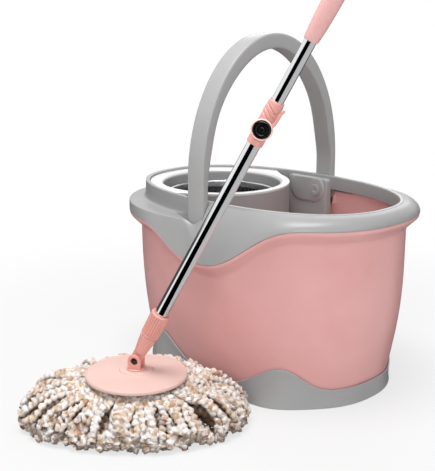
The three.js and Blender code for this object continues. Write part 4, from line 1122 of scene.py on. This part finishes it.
# ------------------------------------------------------------------ pole, upright from the hinge
LOWER_TUBE, UPPER_TUBE, TUBE_WALL = 8.6, 7.55, 0.7
COLLAR_LOW, COLLAR_TOP = 40.3, 75.0
FLUTES, FLUTE_DEPTH = 22, 1.25
LOWER_TUBE_TOP, UPPER_TUBE_LOW = 354.0, 170.0
SLEEVE_LOW, SLEEVE_TOP, SLEEVE_SEAT, DISC_AT = 330.0, 388.0, 9.4, 352.0
GROOVES, GROOVE_DEPTH = (381.6, 375.8, 370.0), 1.5
GRIP_LOW, GRIP_TOP = 467.0, 703.0
LOCK_FACING = math.radians(7.4)


def on_lock(points):
    """From lock coordinates, the disc facing -Y, to their place on the pole."""
    turn = Matrix.Rotation(LOCK_FACING, 3, "Z")
    return on_pole(np.asarray(points) @ np.array(turn).T)


def round_sleeve(points):
    """Like on_lock, with the back of the piece cut to the round of the sleeve it stands on."""
    points = np.array(points, float)
    seat = -np.sqrt(np.maximum(SLEEVE_SEAT ** 2 - points[:, 0] ** 2, 0.0))
    points[:, 1] = np.minimum(points[:, 1], seat)
    return on_lock(points)


def pole_turned(name, outline, radii, body, finish, steps=72, **more):
    return turned_piece(name, outline, radii, body, finish, steps=steps, place=on_pole, **more)


def mop_neck():
    knuckle = EAR_RADIUS - 0.4
    half = TONGUE / 2
    reach = lambda a: np.where(np.sin(a) > 0, np.minimum(
        (knuckle - 0.6) / np.maximum(np.abs(np.cos(a)), 1e-3),
        15.5 / np.maximum(np.abs(np.sin(a)), 1e-3)), knuckle)
    section = [(None, PIN_RADIUS + 0.5, -half), (0.6, 0, -half), (0.0, 0, -half + 0.6), (0.0, 0, half - 0.6),
               (0.6, 0, half), (None, PIN_RADIUS + 0.5, half)]
    tongue = eyed_slab("neck_tongue", reach, section, "lower_pole", mop_pink, on_pole,
                       replaces=["pole_neck"], slot="pink_plastic")
    body = pole_turned(
        "mop_neck",
        [(CORE, 11.5), (6.4, 11.5), (8.0, 13.0), (9.4, 22.0), (11.2, 35.4), (11.5, 36.6), (11.5, 38.2),
         (10.4, 38.6), (10.4, 40.0), (7.6, 40.0), (7.6, 74.0), (CORE, 74.0)],
        [0, 1.2, 1.5, 6.0, 0.9, 0.6, 0.5, 0.3, 0.3, 0.2, 0.5, 0], "lower_pole", mop_pink, 96,
        replaces=["pole_neck"], slot="pink_plastic")
    return tongue, body


def fluted_collar():
    turn = full_turn(220)
    bore = LOWER_TUBE + SEAT_GAP
    outline = [(bore, COLLAR_LOW), (11.4, COLLAR_LOW), (12.1, COLLAR_LOW + 0.8), (12.2, COLLAR_LOW + 2.2),
               (12.5, 52.0), (13.0, 68.0), (13.1, COLLAR_TOP - 2.6), (12.6, COLLAR_TOP - 0.6),
               (11.4, COLLAR_TOP), (bore, COLLAR_TOP)]
    profile = rounded(np.array([outline]), [0.2, 0.5, 0.6, 1.5, 5, 5, 1.4, 0.8, 0.8, 0.3], 5)[0]
    ridge = np.abs(np.cos(turn * FLUTES / 2)) ** 0.7
    rows = []
    for radius, height in profile:
        cut = FLUTE_DEPTH * float(smoother((height - COLLAR_LOW - 1.2) / 1.6)) * float(
            smoother((COLLAR_TOP - 1.2 - height) / 2.2)) * (radius > LOWER_TUBE + 1.5)
        rows.append(level_row(turn, radius - cut * (1 - ridge), height))
    return ring_wall("fluted_collar", moved(np.stack(rows), on_pole), "lower_pole", mop_pink,
                     replaces=["ribbed_collar"], slot="pink_plastic", sharp=60)


def pole_tubes():
    made = []
    for name, outer, low, high, body in (
            ("lower_tube", LOWER_TUBE, COLLAR_LOW, LOWER_TUBE_TOP, "lower_pole"),
            ("upper_tube", UPPER_TUBE, UPPER_TUBE_LOW, GRIP_TOP - 16, "upper_pole")):
        inner = outer - TUBE_WALL
        made.append(pole_turned(name, [(inner, low), (outer, low), (outer, high), (inner, high)],
                                [0.2, 0.25, 0.25, 0.2], body, polished_tube_finish, 96,
                                replaces=[name], slot="chrome_tube", sharp=35))
    return made


def lock_sleeve():
    """The sleeve that joins the tubes, with its slanting grooves, and the boss under the disc."""
    turn = full_turn(150)
    seat, glide = LOWER_TUBE + SEAT_GAP, UPPER_TUBE + 0.5
    step = SLEEVE_LOW + 24.3
    heights = np.concatenate([[SLEEVE_LOW + 0.5], np.arange(SLEEVE_LOW + 1.2, SLEEVE_TOP - 1.4, 0.55)])
    width = np.interp(heights, [SLEEVE_LOW, SLEEVE_LOW + 2, 376.0, SLEEVE_TOP], [10.0, 10.2, 10.2, 9.4])
    outline = [(seat, SLEEVE_LOW), (9.6, SLEEVE_LOW), (9.9, SLEEVE_LOW + 0.15)]
    outline += list(zip(width, heights))
    outline += [(9.2, SLEEVE_TOP - 0.6), (8.9, SLEEVE_TOP - 0.1), (8.5, SLEEVE_TOP),
                (glide, SLEEVE_TOP - 0.4), (glide, step), (seat, step)]
    across, front = np.cos(turn), -np.sin(turn)
    rows = []
    for radius, height in outline:
        size = np.full(len(turn), float(radius))
        if radius > 9.3:
            for start in GROOVES:
                line = start - 0.5 * (radius * across + 9.0)
                groove = smoother(1.2 - np.abs(height - line) / 1.0)
                facing = smoother((front - 0.05) / 0.25) * smoother((7.2 - radius * across) / 1.2)
                size -= GROOVE_DEPTH * groove * facing
        rows.append(level_row(turn, size, height))
    sleeve = ring_wall("lock_sleeve", moved(np.stack(rows), on_lock), "lower_pole", mop_pink,
                       replaces=["lock_sleeve"], slot="pink_plastic", sharp=60)
    boss = rounded(np.array([[CORE, -8.7], [12.2, -8.7], [12.2, -10.6], [CORE, -10.6]]), [0, 0, 0.5, 0], 4)
    skirt = rounded(np.array([[10.4, -2.0], [11.3, -5.0], [12.2, -8.0], [11.0, -9.5], [9.4, -9.5],
                              [9.4, -2.0]]), [0.2, 1.5, 0.8, 0, 0, 0], 4)
    made = [sleeve]
    for name, section in (("lock_boss", boss), ("lock_boss_skirt", skirt)):
        made.append(across_piece(name, section, (0, DISC_AT), "lower_pole", mop_pink, 96, place=round_sleeve,
                                 replaces=["lock_sleeve"], slot="pink_plastic"))
    return made


def lock_cap():
    outline = np.array([[CORE, -13.85], [2.6, -13.85], [3.0, -13.55], [6.4, -13.6], [6.9, -13.95],
                        [9.6, -13.95], [11.0, -13.2], [11.0, -10.9], [2.6, -10.9], [2.6, -9.3], [CORE, -9.3]])
    profile = rounded(outline, [0, 0.3, 0.3, 0.4, 0.4, 0.8, 0.5, 0.2, 0.1, 0.3, 0], 4)
    return across_piece("lock_cap", profile, (0, DISC_AT), "lower_pole", black_gloss, 120, place=on_lock,
                        replaces=["lock_cap"], slot="black_gloss", sharp=60)


def lock_lever():
    outline = np.array([[11.5, -11.1], [13.2, -11.1], [13.2, -13.0], [12.6, -13.9], [11.9, -13.9],
                        [11.5, -13.4]])
    profile = rounded(outline, [0.2, 0.4, 0.8, 0.6, 0.4, 0.3], 4)
    # the ring's pale pink is a painted highlight
    eye = across_piece("lock_ring", profile, (0, DISC_AT), "length_lock", ring_pink_painted_highlight, 120, place=on_lock,
                       replaces=["lock_lever"], slot="pink_plastic")
    path = np.array([[8.2, 8.6], [9.9, 12.0], [10.7, 16.0], [10.9, 22.0], [11.0, 26.5], [11.7, 29.5],
                     [12.9, 31.8], [13.4, 32.6]])
    half = np.array([2.3, 2.1, 1.9, 1.9, 1.9, 1.9, 1.6, 0.7])
    along = np.gradient(path, axis=0)
    along /= np.linalg.norm(along, axis=1, keepdims=True)
    rows = []
    for (x, z), (ax, az), width in zip(path, along, half):
        section = rounded(np.array([[width, -11.2], [width, -13.6], [-width, -13.6], [-width, -11.2]]),
                          [0.5, 0.8, 0.8, 0.5], 4)
        rows.append(np.stack([x + section[:, 0] * az, section[:, 1],
                              DISC_AT + z - section[:, 0] * ax], axis=1))
    arm = ring_wall("lock_lever", moved(np.stack(rows), on_lock), "length_lock", mop_pink, ends="fan",
                    replaces=["lock_lever"], slot="pink_plastic")
    return eye, arm


def pole_grip():
    bore = UPPER_TUBE + SEAT_GAP
    outline = [(bore, GRIP_LOW), (8.5, GRIP_LOW), (8.9, GRIP_LOW + 0.8), (9.5, GRIP_LOW + 4),
               (10.8, GRIP_LOW + 22), (11.6, GRIP_LOW + 45), (12.2, GRIP_LOW + 120), (11.6, GRIP_TOP - 40)]
    radii = [0.2, 0.4, 0.6, 3, 9, 16, 30, 12]
    for ring in range(5):
        at = GRIP_TOP - 34 + ring * 5.0
        outline += [(11.6, at), (10.9, at + 1.1), (11.6, at + 2.2)]
        radii += [0.5, 0.8, 0.5]
    outline += [(11.8, GRIP_TOP - 5), (11.2, GRIP_TOP - 0.8), (10.6, GRIP_TOP), (bore, GRIP_TOP)]
    radii += [1.5, 0.8, 0.5, 0.2]
    return pole_turned("pole_grip", outline, radii, "upper_pole", grip_pink, 96,
                       replaces=["pole_grip"], slot="pink_plastic", sharp=60)


def grip_cap():
    low = GRIP_TOP + SEAT_GAP
    inner = UPPER_TUBE - TUBE_WALL - SEAT_GAP
    dome = pole_turned(
        "grip_cap", [(CORE, low - 15), (inner, low - 15), (inner, low), (11.0, low), (11.0, low + 3.4),
                     (8.4, low + 7.2), (CORE, low + 8)],
        [0, 0.8, 0.1, 0.6, 1.6, 2.6, 0], "upper_pole", grip_pink, 96,
        replaces=["grip_cap"], slot="pink_plastic")
    lift = low + 18.0
    lifted = lambda points: on_pole(np.asarray(points) + [0.0, 0.0, lift])
    section = [(None, 5.4, -3.0), (0.9, 0, -3.0), (0.25, 0, -2.75), (0.0, 0, -2.1), (0.0, 0, 2.1),
               (0.25, 0, 2.75), (0.9, 0, 3.0), (None, 5.4, 3.0), (None, 5.0, 2.4), (None, 5.0, -2.4)]
    loop = eyed_slab("hanging_loop", lambda a: ear_reach(a, 9.0, 13.5), section, "upper_pole", grip_pink,
                     lifted, replaces=["grip_cap"], slot="pink_plastic")
    return dome, loop


# ------------------------------------------------------------------ all the pieces
tub()
base()
upper_frame()
for side in (-1, 1):
    pivot_panel(side)
spinner_housing()
basket()
basket_fittings()
carry_handle()
mop_strands()
refill_ring()
mop_plate()
hinge_foot()
hinge_pin()
mop_neck()
fluted_collar()
pole_tubes()
lock_sleeve()
lock_cap()
lock_lever()
pole_grip()
grip_cap()

# the drive inside the tubes keeps its solids
for node, finish in (("rod_plug", white_plastic), ("twisted_rod", brushed_steel_finish),
                     ("nut_stop_lower", white_plastic), ("drive_nut", white_plastic),
                     ("nut_stop_upper", white_plastic)):
    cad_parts[node].data.materials.clear()
    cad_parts[node].data.materials.append(finish)


# ------------------------------------------------------------------ floor, light and camera
AMBIENT = 0.42
POLE_FOOT = (0.08, -0.24, 0.0)
CAMERA_PLACE, CAMERA_LENS = (0.9194, -1.05, 0.5592), 74.09
CAMERA_RIGHT, CAMERA_BACK = (0.716, 0.698, 0.0), (0.6759, -0.6931, 0.2504)


def studio_tone(shader, toward):
    """Brightness of the studio towards a direction, for what shines: white, with a narrow black
    screen on one side, grey beside it, a dark wall behind and a dim ceiling."""
    level = shader.vector_math("NORMALIZE", shader.vector_math("MULTIPLY", toward, FLAT))

    def within(azimuth, half_width, soft):
        middle = math.radians(azimuth)
        ahead = (math.cos(middle), math.sin(middle), 0.0)
        share = shader.vector_math("DOT_PRODUCT", level, ahead, "Value")
        return share.step(math.cos(math.radians(half_width + soft)),
                          math.cos(math.radians(half_width - soft)))

    height = shader.node("SeparateXYZ", output="Z", Vector=shader.vector_math("NORMALIZE", toward))
    grey = 1.0 - within(23.5, 61.0, 2.0) * 0.42
    wall = 1.0 - within(146.0, 78.0, 3.0) * (1.0 - height.step(0.1, 0.2)) * 0.92
    screen = 1.0 - within(-73.0, 35.0, 1.2)
    ceiling = 1.0 - height.step(0.6, 0.9) * 0.7
    return grey * wall * screen * ceiling


def studio_floor():
    """A floor that looks white and keeps its shadows, and shows the studio in what shines."""
    floor_finish = Finish("floor", (200, 200, 200), 0.9)
    spot = floor_finish.place()
    distance = floor_finish.vector_math("LENGTH", spot, output="Value")
    seen = floor_finish.node("LightPath", output="Is Camera Ray")
    shine = floor_finish.node("LightPath", output="Is Glossy Ray")
    tone = studio_tone(floor_finish, floor_finish.vector_math("SUBTRACT", spot, POLE_FOOT))
    grey = floor_finish.ramp(tone, [(0.0, (0, 0, 0)), (1.0, (255, 255, 255))])
    glow = floor_finish.node("Emission", Color=floor_finish.mix(shine, (255, 255, 255), grey))
    fade = distance.step(0.35, 0.9) * 0.3 + 0.7
    surface = floor_finish.node("MixShader", i0=fade * seen + shine, i1=floor_finish.plain(), i2=glow)
    plug(floor_finish.tree.nodes["Material Output"].inputs["Surface"], surface)
    bpy.ops.mesh.primitive_plane_add(size=14, location=(0, 0, -0.0004))
    floor = bpy.context.object
    floor.name = "floor"
    floor.data.materials.append(floor_finish.material)


def studio_world():
    """White where it is seen, the studio's tones in what shines, and a plain level on the rest."""
    world = bpy.data.worlds.new("studio")
    bpy.context.scene.world = world
    world.use_nodes = True
    sky = Shader(world.node_tree)
    direct = (sky.node("LightPath", output="Is Camera Ray")
              + sky.node("LightPath", output="Is Transmission Ray"))
    shine = sky.node("LightPath", output="Is Glossy Ray")
    tone = studio_tone(sky, sky.node("TexCoord", output="Generated"))
    back = sky.tree.nodes["Background"]
    plug(back.inputs["Color"], (1.0, 1.0, 1.0, 1.0))
    plug(back.inputs["Strength"], direct + shine * tone + (1.0 - direct - shine) * AMBIENT)


def lamp(name, place, target, size, watts):
    """A round lamp, turned towards its target."""
    data = bpy.data.lights.new(name, "AREA")
    data.shape, data.size, data.energy = "DISK", size, watts
    lamp_object = bpy.data.objects.new(name, data)
    lamp_object.location = place
    lamp_object.rotation_euler = (Vector(target) - Vector(place)).to_track_quat("-Z", "Y").to_euler()
    bpy.context.scene.collection.objects.link(lamp_object)


def main_camera():
    data = bpy.data.cameras.new("camera")
    data.sensor_width, data.sensor_fit, data.lens = 36.0, "AUTO", CAMERA_LENS
    camera = bpy.data.objects.new("camera", data)
    back = Vector(CAMERA_BACK).normalized()
    up = back.cross(Vector(CAMERA_RIGHT)).normalized()
    turn = Matrix((up.cross(back), up, back)).transposed().to_4x4()
    camera.matrix_world = Matrix.Translation(CAMERA_PLACE) @ turn
    bpy.context.scene.collection.objects.link(camera)
    bpy.context.scene.camera = camera


studio_floor()
studio_world()
lamp("key", (0.4, -2.2, 2.3), (0, -0.1, 0.2), 1.8, 7)
lamp("low", (1.5, -2.2, 1.3), (0, -0.1, 0.2), 1.6, 24)
lamp("side", (2.6, -0.3, 1.5), (0, -0.1, 0.2), 1.8, 12)
lamp("back", (-1.5, 2.3, 1.6), (0, 0, 0.2), 1.8, 16)
lamp("top", (0.0, -0.5, 3.0), (0, 0, 0.2), 1.6, 76)
main_camera()
bpy.context.scene.view_settings.view_transform = "Standard"
